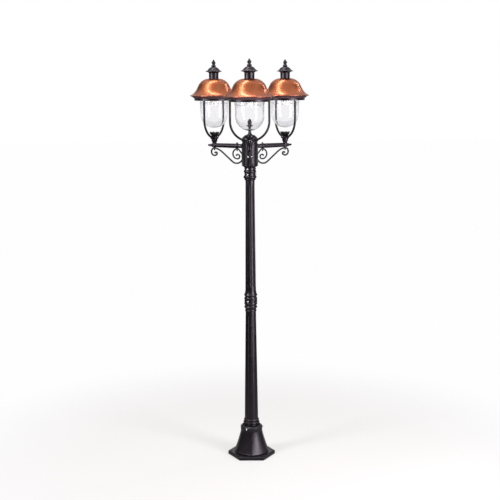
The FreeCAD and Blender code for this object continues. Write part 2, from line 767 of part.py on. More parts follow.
def scroll_screw_shanks(extra):
    """Shanks of the two upright screws that hold the scrolls to the arm."""
    shanks = []
    for reach, under, rod_radius_here in scroll_seats():
        foot = under - scroll_ball_radius
        length = scroll_ball_radius + 2 * rod_radius_here + scroll_screw_grip
        shanks.append(Part.makeCylinder(scroll_screw_radius + extra, length, V(reach, 0, foot)))
    return shanks


def make_outer_scroll():
    """Long S scroll under the arm."""
    return scroll_rod(outer_rod_radius, *outer_scroll_route()).cut(scroll_screw_shanks(slip_gap))


def make_inner_scroll():
    """Small C scroll between the drum and the arm."""
    return scroll_rod(inner_rod_radius, *inner_scroll_route()).cut(scroll_screw_shanks(slip_gap))


def make_scroll_screws():
    """Ball headed screws from below through each scroll's crest into the arm."""
    screws = []
    for azimuth in LANTERN_NAMES.values():
        for seat, shank in zip(scroll_seats(), scroll_screw_shanks(-0.1)):
            reach, under, rod_radius_here = seat
            ball = Part.makeSphere(scroll_ball_radius, V(reach, 0, under - scroll_ball_radius * 0.9))
            top = Part.makeBox(20, 20, 20, V(reach - 10, -10, under - slip_gap))
            screws.append(turned(ball.cut(top).fuse(shank), azimuth))
    return Part.makeCompound(screws)


def harp_groove():
    """Round the bend of the harp, so that the stem and the crown close on it."""
    return Part.makeTorus(harp_radius, harp_tube_radius + seat_gap, V(0, 0, harp_centre), V(1, 0, 0))


def make_lamp_stem():
    """Fluted stem that plugs into the arm and carries the harp in a groove across its collar."""
    boss_top = arm_level + stem_boss_radius
    collar_foot = harp_low - stem_collar_height / 2
    rise = collar_foot - boss_top
    stem = lathe([(arm_bore_radius, boss_top - stem_spigot_length), (stem_spigot_radius, boss_top - stem_spigot_length),
                  (stem_spigot_radius, boss_top), (stem_foot_radius, boss_top),
                  ((stem_foot_radius + 1.6, boss_top + rise * 0.22), (stem_bulge_radius - 1, boss_top + rise * 0.42)),
                  ((stem_bulge_radius + 0.3, boss_top + rise * 0.7), (stem_bulge_radius + 0.8, collar_foot - 3)),
                  (stem_collar_radius - 1, collar_foot), (stem_collar_radius, collar_foot + 1),
                  (stem_collar_radius, harp_low), (arm_bore_radius, harp_low)])
    flutes = []
    lift = stem_flute_radius - stem_flute_depth
    for i in range(stem_flutes):
        tool = rod(stem_flute_radius, V(stem_foot_radius + lift, 0, boss_top - 0.1),
                   V(stem_bulge_radius + lift + 1.2, 0, collar_foot - 6))
        flutes.append(turned(tool, 22.5 + 360.0 * i / stem_flutes))
    groove = harp_groove()
    holes = [Part.makeCylinder(scroll_screw_radius, clamp_screw_length, V(side * clamp_screw_reach, 0,
             harp_low + stem_collar_height / 2 - clamp_screw_length)) for side in (-1, 1)]
    return at_lantern(stem.cut(flutes + [groove] + holes).removeSplitter())


def make_crown():
    """Upper half of the clamp: a waisted cup whose rim is cut into petals."""
    foot = harp_low + slip_gap
    flange = harp_low + stem_collar_height / 2
    top = harp_low + crown_height
    mouth = crown_mouth_radius
    cup = lathe([(wire_hole_radius, foot), (stem_collar_radius, foot), (stem_collar_radius, flange),
                 (crown_waist_radius, flange), ((crown_waist_radius + 0.6, flange + 4), (mouth - 6, flange + 13)),
                 ((mouth - 0.6, top - 7), (mouth, top)), (mouth - crown_wall, top),
                 ((mouth - crown_wall - 2.2, top - 8), (mouth - crown_wall - 8, flange + 14)),
                 (wire_hole_radius, flange + 9)])
    slots = []
    for i in range(4):
        slot = Part.makeBox(2 * mouth + 8, petal_slot_width, petal_slot_depth + 1,
                            V(-mouth - 4, -petal_slot_width / 2, top - petal_slot_depth))
        slots.append(turned(slot, 22.5 + 45 * i))
    groove = harp_groove()
    holes = [Part.makeCylinder(scroll_screw_radius + slip_gap, stem_collar_height,
                               V(side * clamp_screw_reach, 0, harp_low)) for side in (-1, 1)]
    return at_lantern(cup.cut(slots + [groove] + holes).removeSplitter())


def make_clamp_screws():
    """Two screws per lantern that pull the crown down on the harp."""
    seat = harp_low + stem_collar_height / 2
    screws = []
    for azimuth in LANTERN_NAMES.values():
        for side in (-1, 1):
            place = V(arm_reach + side * clamp_screw_reach, 0, seat)
            head = Part.makeCylinder(clamp_screw_head_radius, clamp_screw_head_height, place)
            shank = Part.makeCylinder(scroll_screw_radius - 0.1, clamp_screw_length,
                                      place - V(0, 0, clamp_screw_length))
            screws.append(turned(head.fuse(shank), azimuth))
    return Part.makeCompound(screws)


def make_harp():
    """Bent tube that holds the glass ring over the crown. The cable runs up inside it."""
    moves = [(harp_leg_length, 0), (harp_radius, 180), (harp_leg_length, 0)]
    start = V(-harp_radius, 0, ring_level)
    tubes = [turned(bent_bar(radius, start, -90, moves)[0], 90)
             for radius in (harp_tube_radius, harp_tube_radius - harp_tube_wall)]
    entry = Part.makeCylinder(wire_hole_radius, harp_tube_radius + 1, V(0, 0, harp_low - harp_tube_radius - 1))
    ends = []
    for side in (-1, 1):
        top = lathe([(harp_spigot_bore, ring_level - 8), (harp_tube_radius - 1, ring_level - 8),
                     (harp_tube_radius - 1, ring_level - 1), (harp_spigot_radius, ring_level - 1),
                     (harp_spigot_radius, ring_level + harp_spigot_length),
                     (harp_spigot_bore, ring_level + harp_spigot_length)])
        ends.append(top.translated(V(0, side * harp_radius, 0)))
    return at_lantern(tubes[0].cut([tubes[1], entry]).fuse(ends).removeSplitter())


def make_glass_ring():
    """Shallow pan that carries the glass, with bosses for the harp's ends and the bridge's screws."""
    inner = glass_room
    floor_top = ring_level + ring_floor
    pan = lathe([(inner, ring_level), (ring_radius - 1, ring_level), (ring_radius, ring_level + 1),
                 (ring_radius, ring_top), (ring_radius - ring_wall, ring_top),
                 (ring_radius - ring_wall, floor_top), (inner, floor_top)])
    limit = Part.makeCylinder(ring_radius, ring_height, V(0, 0, ring_level))
    bosses = []
    cuts = []
    for side in (-1, 1):
        seat = V(0, side * harp_radius, ring_level)
        boss = Part.makeCylinder(ring_boss_radius, harp_spigot_length + 2, seat).common(limit)
        bosses.append(boss)
        cuts.append(Part.makeCylinder(harp_spigot_radius + seat_gap, harp_spigot_length + slip_gap, seat))
        cuts.append(Part.makeCylinder(ring_wire_hole_radius, harp_spigot_length + 4, seat))
        level = ring_level + harp_spigot_length / 2
        cuts.append(rod(ring_screw_radius + 0.1, V(0, side * harp_radius, level),
                        V(0, side * (ring_radius + 1), level)))
        post = V(side * bridge_screw_reach, 0, floor_top)
        bosses.append(Part.makeCylinder(bridge_boss_radius, bridge_level - floor_top, post))
        cuts.append(Part.makeCylinder(ring_screw_radius, bridge_level - floor_top, post))
    return at_lantern(pan.fuse(bosses).cut(cuts).removeSplitter())


def make_ring_screws():
    """Four screws per lantern: two through the ring's wall into the harp, two down through the bridge."""
    head = Part.makeCylinder(ring_screw_head_radius, ring_screw_head_height)
    short = ring_radius - harp_radius - harp_spigot_radius - slip_gap
    side_screw = head.fuse(Part.makeCylinder(ring_screw_radius, short, V(0, 0, -short)))
    down_length = bridge_level - ring_level - ring_floor + bridge_thickness - 1
    down_screw = head.fuse(Part.makeCylinder(ring_screw_radius - 0.1, down_length, V(0, 0, -down_length)))
    level = ring_level + harp_spigot_length / 2
    screws = []
    for azimuth in LANTERN_NAMES.values():
        for side in (-1, 1):
            lying = side_screw.rotated(ORIGIN, V(1, 0, 0), -side * 90)
            lying = lying.translated(V(arm_reach, side * ring_radius, level))
            upright = down_screw.translated(V(arm_reach + side * bridge_screw_reach, 0,
                                              bridge_level + bridge_thickness))
            screws += [turned(lying, azimuth), turned(upright, azimuth)]
    return Part.makeCompound(screws)


def make_gasket():
    """Flat rubber ring between the pan and the glass flange."""
    outer = glass_radius + glass_flange + 1
    floor_top = ring_level + ring_floor
    ring = lathe([(glass_room, floor_top), (outer, floor_top), (outer, glass_seat), (glass_room, glass_seat)])
    return at_lantern(ring)


def make_glass():
    """Round bottomed clear cup with a bead near its mouth and a flange to hang by."""
    radius = glass_radius
    inner = glass_radius - glass_wall
    centre = glass_seat - (glass_body_height + ring_floor + gasket_height)
    bead = ring_level - glass_bead_drop
    top = glass_seat + glass_flange_height
    cosine = math.cos(math.radians(45))
    cup = lathe([(0, centre - radius), ((radius * cosine, centre - radius * cosine), (radius, centre)),
                 (radius, bead - 2.5), ((radius + glass_bead * 0.7, bead - 1.6), (radius + glass_bead, bead)),
                 (radius + glass_bead, glass_seat), (radius + glass_flange, glass_seat),
                 (radius + glass_flange, top), (inner, top), (inner, centre),
                 ((inner * cosine, centre - inner * cosine), (0, centre - inner))])
    return at_lantern(cup)


def make_bridge():
    """Flat strip across the ring that holds the glass down and carries the lampholder and the roof rod."""
    reach = bridge_screw_reach + bridge_boss_radius - 1
    strip = Part.makeBox(2 * reach, bridge_width, bridge_thickness, V(-reach, -bridge_width / 2, bridge_level))
    holes = [Part.makeCylinder(rod_radius + slip_gap, 10, V(0, 0, bridge_level - 5))]
    for side in (-1, 1):
        holes.append(Part.makeCylinder(ring_screw_radius + slip_gap, 10,
                                       V(side * bridge_screw_reach, 0, bridge_level - 5)))
        holes.append(Part.makeCylinder(bridge_wire_hole_radius, 10,
                                       V(side * bridge_wire_hole_reach, 0, bridge_level - 5)))
    return at_lantern(strip.cut(holes))


def make_lampholder():
    """White porcelain lampholder with its screw shell facing down and a blind hole for the rod above."""
    top = bridge_level
    foot = top - holder_height
    skirt = holder_skirt_radius
    shell = holder_shell_radius
    hole_end = top - rod_tail - rod_tip_gap
    holder = lathe([(shell, foot), (skirt - 1, foot), (skirt, foot + 1), (skirt, foot + holder_height * 0.55),
                    ((skirt - 1, foot + holder_height * 0.66), (holder_neck_radius, foot + holder_height * 0.72)),
                    (holder_neck_radius, top), (rod_radius + slip_gap, top),
                    (rod_radius + slip_gap, hole_end), (0, hole_end),
                    (0, foot + holder_shell_depth), (shell, foot + holder_shell_depth)])
    return at_lantern(holder)


def make_roof_rods():
    """A threaded rod and its nut for each roof, standing on the bridge."""
    pieces = []
    foot = bridge_level - rod_tail
    top = chimney_top + nut_bore_depth - 1
    nut_foot = bridge_level + bridge_thickness
    corners = [polar(rod_nut_radius, 60 * i, nut_foot) for i in range(7)]
    nut = Part.Face(Part.makePolygon(corners)).extrude(V(0, 0, rod_nut_height))
    nut = nut.cut(Part.makeCylinder(rod_radius + 0.1, rod_nut_height, V(0, 0, nut_foot)))
    long_rod = Part.makeCylinder(rod_radius, top - foot, V(0, 0, foot))
    for azimuth in LANTERN_NAMES.values():
        pieces.append(turned(at_lantern(long_rod), azimuth))
        pieces.append(turned(at_lantern(nut), azimuth))
    return Part.makeCompound(pieces)


def make_roof():
    """Spun copper roof: flat crown, bell curve, flared brim and a hem that rests on the ring."""
    t = roof_sheet
    base = roof_level
    top = roof_top
    brim = base + roof_brim_rise
    edge = roof_brim_radius
    bead = roof_brim_bead
    hem = ring_radius - ring_wall - 2
    skin = 0.75 * t
    shoulder, waist, flare = [(edge - inset, top - drop) for inset, drop in (roof_shoulder, roof_waist, roof_flare)]
    under = [(r - skin, z - skin) for r, z in (shoulder, waist, flare)]
    outer = [(roof_crest_radius, top), (shoulder, waist),
             (flare, (edge - bead, brim)), ((edge, brim - bead), (edge - bead, brim - 2 * bead))]
    hem_part = [(ring_radius + 4, base), (hem, base), (hem, base + t), (ring_radius + 3.5, base + t),
                (edge - bead - 3, brim - 1.8)]
    inner = [(under[2], under[1]), (under[0], (roof_crest_radius - 0.6, top - t)),
             (rod_hole_radius, top - t), (rod_hole_radius, top)]
    return at_lantern(lathe(outer + hem_part + inner))


def make_chimney_cap():
    """Black vent shaped cap on the crown of the roof, hollow, with a wide brim and a domed top."""
    foot = roof_top
    brim = foot + chimney_brim_level
    top = chimney_top
    wall = chimney_wall
    radius = chimney_radius
    return at_lantern(lathe([
        (radius, foot), (radius - 0.6, foot + 5), (radius, brim - 9),
        ((radius + 3.5, brim - 5), (chimney_brim_radius - 1, brim - 1.6)), (chimney_brim_radius, brim),
        ((chimney_brim_radius - 7, brim + 4.5), (chimney_brim_radius - 14, brim + 13)),
        ((chimney_top_radius + 8, top - 3.6), (chimney_top_radius, top)), (rod_hole_radius, top),
        (rod_hole_radius, top - wall - 3), (radius - wall - 5, top - wall - 9), (radius - wall, brim - 3),
        (radius - wall, foot)]))


def make_roof_nut():
    """Finial that screws down on the rod and holds the roof, with a blind bore."""
    foot = chimney_top + seat_gap
    top = chimney_top + nut_height
    bore = rod_radius + moving_gap
    bore_top = foot + nut_bore_depth
    return at_lantern(lathe([
        (bore, foot), (nut_ring_radius - 3, foot), ((nut_ring_radius, foot + 5.5), (nut_neck_radius + 1, foot + 11)),
        ((nut_neck_radius, foot + 14), (nut_acorn_radius - 1.5, foot + 18)),
        ((nut_acorn_radius, foot + 23.5), (nut_acorn_radius - 3.0, foot + 30)),
        ((4.2, foot + 37), (tip_flat_radius, top)), (0, top), (0, bore_top), (bore, bore_top)]))


def write(name, shape):
    """Check a piece and write it to its own file."""
    if not shape.isValid() or shape.Volume <= 0:
        raise ValueError(name + " is not a good solid")
    shape.exportStep(os.path.join("parts", name + ".step"))
    print(name, len(shape.Solids), round(shape.Volume / 1000, 2), "cm3")


def main():
    os.makedirs("parts", exist_ok=True)
    write("base_casting", make_base_casting())
    write("foot_collar", make_foot_collar())
    write("lower_post", make_lower_post())
    write("mid_collar", make_mid_collar())
    write("upper_post", make_upper_post())
    write("top_collar", make_top_collar())
    write("hub_body", make_hub_body())
    write("hub_cap", make_hub_cap())
    write("hub_finial", make_hub_finial())
    write("terminal_block", make_terminal_block())

    rim_screws = dome_screws(foot_screw_places(), foot_neck_radius + slip_gap, bell_rim_radius)
    write("foot_set_screws", Part.makeCompound(rim_screws))
    neck_screws = dome_screws(mid_screw_places(), joint_spigot_radius + slip_gap, mid_neck_radius)
    write("mid_set_screws", Part.makeCompound(neck_screws))
    collar_screws = []
    for azimuth, level, tip in top_screw_places():
        collar_screws += dome_screws([(azimuth, level)], tip, top_neck_radius)
    write("top_set_screws", Part.makeCompound(collar_screws))
    write("arm_bolts", make_arm_bolts())
    write("scroll_screws", make_scroll_screws())
    write("clamp_screws", make_clamp_screws())
    write("ring_screws", make_ring_screws())
    write("roof_rods", make_roof_rods())

    makers = {"arm": make_arm, "outer_scroll": make_outer_scroll, "inner_scroll": make_inner_scroll,
              "lamp_stem": make_lamp_stem, "crown": make_crown, "harp": make_harp,
              "glass_ring": make_glass_ring, "gasket": make_gasket, "glass": make_glass,
              "bridge": make_bridge, "lampholder": make_lampholder, "roof": make_roof,
              "chimney_cap": make_chimney_cap, "roof_nut": make_roof_nut}
    for piece, maker in makers.items():
        shape = maker()
        for side, azimuth in LANTERN_NAMES.items():
            write(piece + "_" + side, turned(shape, azimuth))


main()
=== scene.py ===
# %% [markdown]
# A garden lamp post with three lanterns: a hexagonal cast foot, two fluted tubes joined by a moulded
# collar, a drum with three arms, and on each arm a clear glass lantern under a spun copper roof.
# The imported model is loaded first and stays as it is. It says where everything goes, so each finer
# piece below takes its place from the model's own pieces.

import math

import bmesh
import bpy
import numpy as np
from mathutils import Matrix, Vector


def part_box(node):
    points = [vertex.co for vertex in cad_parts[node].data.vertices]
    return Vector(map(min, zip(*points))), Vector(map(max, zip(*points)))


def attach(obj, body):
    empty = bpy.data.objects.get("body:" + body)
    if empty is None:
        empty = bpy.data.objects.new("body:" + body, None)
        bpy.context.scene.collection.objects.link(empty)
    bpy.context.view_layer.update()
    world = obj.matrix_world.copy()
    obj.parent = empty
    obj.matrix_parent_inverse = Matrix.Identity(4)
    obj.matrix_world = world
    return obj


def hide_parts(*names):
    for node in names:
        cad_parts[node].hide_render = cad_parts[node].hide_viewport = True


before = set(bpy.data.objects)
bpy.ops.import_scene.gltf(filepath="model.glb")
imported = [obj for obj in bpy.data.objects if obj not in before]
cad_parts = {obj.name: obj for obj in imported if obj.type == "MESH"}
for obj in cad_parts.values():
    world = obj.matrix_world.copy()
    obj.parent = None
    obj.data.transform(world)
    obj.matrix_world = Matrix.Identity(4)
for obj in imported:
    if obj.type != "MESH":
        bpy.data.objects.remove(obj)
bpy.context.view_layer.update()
MM = 0.001
SIDES = {"front": -90.0, "right": 30.0, "left": 150.0}


def ends(node):
    """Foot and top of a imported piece, in millimetres."""
    low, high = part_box(node)
    return low.z / MM, high.z / MM


low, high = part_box("roof_nut_front")
arm_reach = -(low.y + high.y) / 2 / MM
print("lantern axis", round(arm_reach, 1), "mm from the post axis")

# %% [markdown]
# The photograph is taken from nearly lantern height with a long lens, looking down by under ten
# degrees. The post's axis leans by a third of a degree in the picture, so the camera has that roll.
# A pitched camera with no shift keeps every other view straight.

# %% Camera
PICTURE_WIDTH = 500
focal_pixels = 1039.6
axis_offset_pixels = 0.45
camera_data = bpy.data.cameras.new("camera")
camera_data.sensor_width = 36
camera_data.lens = camera_data.sensor_width * focal_pixels / PICTURE_WIDTH
camera = bpy.data.objects.new("camera", camera_data)
bpy.context.scene.collection.objects.link(camera)
bpy.context.scene.camera = camera
pitch = math.radians(90 - 9.469)
roll = math.radians(-0.35)
yaw = math.atan(axis_offset_pixels / focal_pixels)
camera.matrix_world = (Matrix.Translation((0, -5.883, 2.2034)) @ Matrix.Rotation(yaw, 4, "Z")
                       @ Matrix.Rotation(pitch, 4, "X") @ Matrix.Rotation(roll, 4, "Z"))
print("lens", round(camera_data.lens, 1), "mm")

# %% [markdown]
# Turned work is a flat outline carried round an axis. An outline needs few points: straight runs and
# arcs through three points, as a turner would mark them out. Sharp corners never stay sharp under
# powder coat, so each corner is softened before it is turned.

# %% Outlines


def arc_through(a, b, c, count=12):
    """Points from a through b to c on their common circle, whose centre is equally far from all three."""
    a, b, c = (np.array(p, float) for p in (a, b, c))
    sides = np.array([b - a, c - b])
    if abs(np.linalg.det(sides)) < 1e-9:
        return np.array([a, c])
    centre = np.linalg.solve(sides, [(b @ b - a @ a) / 2, (c @ c - b @ b) / 2])
    start, middle, end = (math.atan2(*(p - centre)[::-1]) for p in (a, b, c))
    to_middle = (middle - start) % (2 * math.pi)
    to_end = (end - start) % (2 * math.pi)
    if to_middle > to_end:
        to_end -= 2 * math.pi
    angle = start + np.linspace(0, to_end, count)
    radius = np.linalg.norm(a - centre)
    return centre + radius * np.stack([np.cos(angle), np.sin(angle)], -1)


def outline(*steps, count=12):
    """Joins corners and arcs: a step is (r, z), or a pair of such points for an arc through the first."""
    points = [np.array([steps[0]], float)]
    for step in steps[1:]:
        if isinstance(step[0], tuple):
            points.append(arc_through(points[-1][-1], step[0], step[1], count)[1:])
        else:
            points.append(np.array([step], float))
    return np.concatenate(points)


def soften(points, radius=1.0, closed=True, least_turn=18):
    """Swaps each real corner p for the curve (1-t)^2 a + 2t(1-t) p + t^2 b, where a and b lie a radius
    away on its two sides. Points that barely turn stay as they are."""
    points = np.asarray(points, float)
    back = np.roll(points, 1, 0) - points
    on = np.roll(points, -1, 0) - points
    long_back = np.linalg.norm(back, axis=1, keepdims=True) + 1e-9
    long_on = np.linalg.norm(on, axis=1, keepdims=True) + 1e-9
    cosine = (back * on).sum(1, keepdims=True) / (long_back * long_on)
    turning = 180 - np.degrees(np.arccos(np.clip(cosine, -1, 1))) > least_turn
    if not closed:
        turning[[0, -1]] = False
    a = points + back * np.where(turning, np.minimum(radius / long_back, 0.45), 0)
    b = points + on * np.where(turning, np.minimum(radius / long_on, 0.45), 0)
    t = np.linspace(0, 1, 6)[None, :, None]
    curved = (1 - t) ** 2 * a[:, None] + 2 * t * (1 - t) * points[:, None] + t ** 2 * b[:, None]
    curved = curved.reshape(-1, 2)
    moves = np.linalg.norm(np.diff(curved, axis=0), axis=1) > 1e-4
    return curved[np.append(True, moves)]


def eased(points, spacing, width):
    """A spun sheet has no corners: the outline is walked in equal steps, then each point becomes the
    mean of its neighbours within the width. Both ends stay where they are."""
    step = np.linalg.norm(np.diff(points, axis=0), axis=1)
    run = np.append(0, np.cumsum(step))
    even = np.linspace(0, run[-1], int(run[-1] / spacing) + 1)
    walked = np.stack([np.interp(even, run, points[:, k]) for k in (0, 1)], -1)
    reach = max(1, int(width / spacing))
    weight = np.hanning(2 * reach + 3)[1:-1]
    weight /= weight.sum()
    before = 2 * walked[0] - walked[reach:0:-1]
    after = 2 * walked[-1] - walked[-2:-reach - 2:-1]
    longer = np.concatenate([before, walked, after])
    return np.stack([np.convolve(longer[:, k], weight, "valid") for k in (0, 1)], -1)


print("an arc of", len(arc_through((1, 0), (0, 1), (-1, 0))), "points")

# %% [markdown]
# Every new surface is a grid of points, worked out as one array. Turning an outline gives a grid, and so
# does carrying a ring along a path. The last column joins the first, and poles are merged afterwards, so
# each shell is closed.

# %% Grids


def polar(r, angle, z):
    """The points (r cos a, r sin a, z)."""
    return np.stack(np.broadcast_arrays(r * np.cos(angle), r * np.sin(angle), z), -1)


def even_angles(count):
    """Angles spaced evenly over one full turn."""
    return np.arange(count) * 2 * math.pi / count


def turned(profile, columns=96):
    """Carries the outline (r, z) round the axis, one column for each angle."""
    r, z = np.asarray(profile, float).T[..., None]
    return polar(r, even_angles(columns), z)


def swept(path, radius, columns=20):
    """A ring of the given radius at each point of a path in the plane y = 0, square to the path. A
    radius of 0 at an end closes it."""
    path = np.asarray(path, float)
    along = np.gradient(path, axis=0)
    along /= np.linalg.norm(along, axis=1, keepdims=True)
    across = np.stack([-along[:, 1], 0 * along[:, 0], along[:, 0]], -1)
    side = np.array([0.0, 1.0, 0.0])
    angle = even_angles(columns)
    radius = np.broadcast_to(np.asarray(radius, float), len(path))
    spokes = across[:, None] * np.cos(angle)[None, :, None] + side * np.sin(angle)[None, :, None]
    middle = np.stack([path[:, 0], 0 * path[:, 0], path[:, 1]], -1)
    return middle[:, None] + radius[:, None, None] * spokes


def quads(grid, join_rows=False):
    """Four-cornered faces between neighbours of a grid whose columns close on themselves."""
    rows, columns = grid.shape[:2]
    i = np.arange(rows if join_rows else rows - 1)[:, None]
    j = np.arange(columns)[None]
    right = (j + 1) % columns
    down = (i + 1) % rows
    faces = np.stack([i * columns + j, i * columns + right, down * columns + right, down * columns + j], -1)
    return faces.reshape(-1, 4)


def shell(grid, join_rows=False):
    """The points and faces of a grid, and how far along its column each point lies."""
    step = np.linalg.norm(np.diff(grid, axis=0), axis=2)
    run = np.concatenate([np.zeros((1, grid.shape[1])), np.cumsum(step, 0)])
    return grid.reshape(-1, 3), quads(grid, join_rows), run.reshape(-1)


def lathe(*steps, count=12):
    """A ring-shaped shell, turned from an outline whose corners are softened by 0.8 mm."""
    return shell(turned(soften(outline(*steps, count=count), 0.8)), True)


def pin(profile, radius, columns):
    """A solid of revolution, turned from an outline that starts and ends on the axis."""
    return shell(turned(soften(profile, radius, False), columns))


def plate(front, back):
    """The two sides of a plate, as open grids that share their border."""
    rows, columns = front.shape[:2]
    i = np.arange(rows - 1)[:, None]
    j = np.arange(columns - 1)[None]
    corner = i * columns + j
    one = np.stack([corner, corner + 1, corner + columns + 1, corner + columns], -1).reshape(-1, 4)
    faces = np.concatenate([one, one[:, ::-1] + rows * columns])
    points = np.concatenate([front.reshape(-1, 3), back.reshape(-1, 3)])
    return points, faces, points[:, 2]


def turn(points, azimuth):
    """Turns points round the Z axis: (x cos a - y sin a, x sin a + y cos a, z)."""
    a = math.radians(azimuth)
    return points @ np.array([[math.cos(a), math.sin(a), 0], [-math.sin(a), math.cos(a), 0], [0, 0, 1]])


def moved(part, shift=(0, 0, 0), azimuth=0.0):
    """The same shell, moved and then turned round the Z axis."""
    points, faces, run = part
    return turn(points + np.asarray(shift, float), azimuth), faces, run


def joined(shells):
    """Several shells as one list of points, faces and runs."""
    starts = np.cumsum([0] + [len(points) for points, faces, run in shells])
    faces = np.concatenate([part[1] + start for part, start in zip(shells, starts)])
    return np.concatenate([part[0] for part in shells]), faces, np.concatenate([part[2] for part in shells])


print("a turned grid of", turned([(1, 0), (1, 1)]).shape)

# %% [markdown]
# A piece is made of one or more shells. Doubled points are merged, its faces are turned outwards, and only
# edges of more than 38 degrees stay sharp. Each piece says which body it rides on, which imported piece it
# stands for and which material slot it belongs to.

# %% Pieces
SHARP = math.radians(38)


def add_object(name, points, faces):
    """A new object in the scene with this mesh, its points in metres."""
    mesh = bpy.data.meshes.new(name)
    mesh.from_pydata(np.asarray(points).tolist(), [], np.asarray(faces).tolist())
    made = bpy.data.objects.new(name, mesh)
    bpy.context.scene.collection.objects.link(made)
    return made


def build(name, shells, finish, replaces=(), body="post", azimuth=0.0, shift=0.0):
    """Makes one piece from its shells. It is modelled in millimetres round its own axis, which the
    attribute local keeps, then moved out by shift and turned to its arm's azimuth."""
    points, faces, run = joined(shells)
    local = points * MM
    placed = turn(local + [shift * MM, 0, 0], azimuth)
    piece = add_object(name, placed, faces)
    mesh = piece.data
    for key, kind, field, values in (("local", "FLOAT_VECTOR", "vector", local),
                                     ("run", "FLOAT", "value", run * MM)):
        attribute = mesh.attributes.new(key, kind, "POINT")
        attribute.data.foreach_set(field, values.astype(np.float32).ravel())
    work = bmesh.new()
    work.from_mesh(mesh)
    bmesh.ops.remove_doubles(work, verts=work.verts, dist=1e-6)
    bmesh.ops.dissolve_degenerate(work, edges=work.edges, dist=1e-7)
    bmesh.ops.recalc_face_normals(work, faces=work.faces)
    work.to_mesh(mesh)
    work.free()
    mesh.shade_smooth()
    mesh.set_sharp_from_angle(angle=SHARP)
    mesh.materials.append(finish)
    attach(piece, body)
    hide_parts(*replaces)
    return piece


def on_each_arm(name, shells, finish, node, body="post", shift=None):
    """Builds one piece three times, once on each arm, at the lantern's axis unless a shift is given."""
    shift = arm_reach if shift is None else shift
    for side, azimuth in SIDES.items():
        rider = body if body == "post" else body + "_" + side
        build(name + "_" + side, shells, finish, [node + "_" + side], rider, azimuth, shift)


print("pieces go on arms at", sorted(SIDES.values()), "degrees")

# %% [markdown]
# A finish is a small network of nodes. One class wraps a socket, so that shader maths reads as ordinary
# expressions, and one method adds any other node. The world uses it too.

# %% Shader sockets as numbers


class Value:
    """A socket that takes part in arithmetic; each operation adds one Math node."""

    def __init__(self, finish, socket):
        self.finish, self.socket = finish, socket

    def math(self, operation, first, second):
        node = self.finish.node("ShaderNodeMath", {"operation": operation}, [first, second])
        return Value(self.finish, node.outputs[0])

    def __add__(self, other):
        return self.math("ADD", self, other)

    def __radd__(self, other):
        return self.math("ADD", other, self)

    def __sub__(self, other):
        return self.math("SUBTRACT", self, other)

    def __rsub__(self, other):
        return self.math("SUBTRACT", other, self)

    def __mul__(self, other):
        return self.math("MULTIPLY", self, other)

    def __rmul__(self, other):
        return self.math("MULTIPLY", other, self)


print("sockets add, subtract and multiply")

# %% Node trees


class Finish:
    """The node tree of a material or of the world, and one way to add nodes to it."""

    def __init__(self, owner, output="ShaderNodeOutputMaterial"):
        self.owner = owner
        owner.use_nodes = True
        self.tree = owner.node_tree
        self.tree.nodes.clear()
        self.output = self.tree.nodes.new(output)

    def node(self, kind, settings=None, inputs=None):
        """Adds a node: settings first, then inputs by name or place, each a number, a socket or a Value."""
        made = self.tree.nodes.new(kind)
        for key, value in (settings or {}).items():
            if key == "stops":
                self.set_stops(made.color_ramp, value)
            else:
                setattr(made, key, value)
        pairs = inputs.items() if isinstance(inputs, dict) else enumerate(inputs or [])
        for key, value in pairs:
            self.plug(made.inputs[key], value)
        return made

    def plug(self, target, value):
        if isinstance(value, Value):
            value = value.socket
        if isinstance(value, bpy.types.NodeSocket):
            self.tree.links.new(value, target)
        else:
            target.default_value = value

    def set_stops(self, ramp, stops):
        for i, (place, colour) in enumerate(stops):
            element = ramp.elements[i] if i < 2 else ramp.elements.new(place)
            element.position = place
            element.color = (*colour, 1)

    def place(self):
        return self.node("ShaderNodeTexCoord").outputs["Object"]

    def local(self):
        return self.node("ShaderNodeAttribute", {"attribute_name": "local"}).outputs["Vector"]

    def run(self):
        return Value(self, self.node("ShaderNodeAttribute", {"attribute_name": "run"}).outputs["Fac"])

    def noise(self, place, scale, detail=3.0, roughness=0.5):
        made = self.node("ShaderNodeTexNoise", None,
                         {"Vector": place, "Scale": scale, "Detail": detail, "Roughness": roughness})
        return Value(self, made.outputs["Fac"])

    def vector(self, operation, first, second):
        return self.node("ShaderNodeVectorMath", {"operation": operation}, [first, second]).outputs[0]

    def mix(self, share, first, second):
        made = self.node("ShaderNodeMix", {"data_type": "RGBA"}, {"Factor": share})
        self.plug(made.inputs[6], (*first, 1) if isinstance(first, tuple) else first)
        self.plug(made.inputs[7], (*second, 1) if isinstance(second, tuple) else second)
        return made.outputs[2]

    def ramp(self, value, *stops):
        return self.node("ShaderNodeValToRGB", {"stops": stops}, [value]).outputs["Color"]

    def bump(self, height, strength, distance):
        sockets = {"Height": height, "Strength": strength, "Distance": distance}
        return self.node("ShaderNodeBump", None, sockets).outputs["Normal"]

    def rise(self, value, low, high):
        """A smooth step from 0 at low to 1 at high."""
        made = self.node("ShaderNodeMapRange", {"interpolation_type": "SMOOTHSTEP"},
                         {"Value": value, "From Min": low, "From Max": high})
        return Value(self, made.outputs[0])

    def seen(self, depth, low, high):
        """1 for rays that look at the white set from the camera or through glass, and for mirror rays
        where the depth has risen from low to high; 0 for rays that only carry light."""
        path = self.node("ShaderNodeLightPath")
        camera_ray, glass_ray, mirror_ray = (Value(self, path.outputs["Is %s Ray" % kind])
                                             for kind in ("Camera", "Transmission", "Glossy"))
        return camera_ray + glass_ray + mirror_ray * self.rise(depth, low, high)

    def close(self, shader):
        self.tree.links.new(shader.outputs[0], self.output.inputs["Surface"])
        return self.owner

    def surface(self, **sockets):
        """A Principled shader with the given sockets, and the material it finishes."""
        names = {key.replace("_", " "): value for key, value in sockets.items()}
        return self.close(self.node("ShaderNodeBsdfPrincipled", None, names))


def new_finish(name):
    return Finish(bpy.data.materials.new(name))


print("shader helper ready")

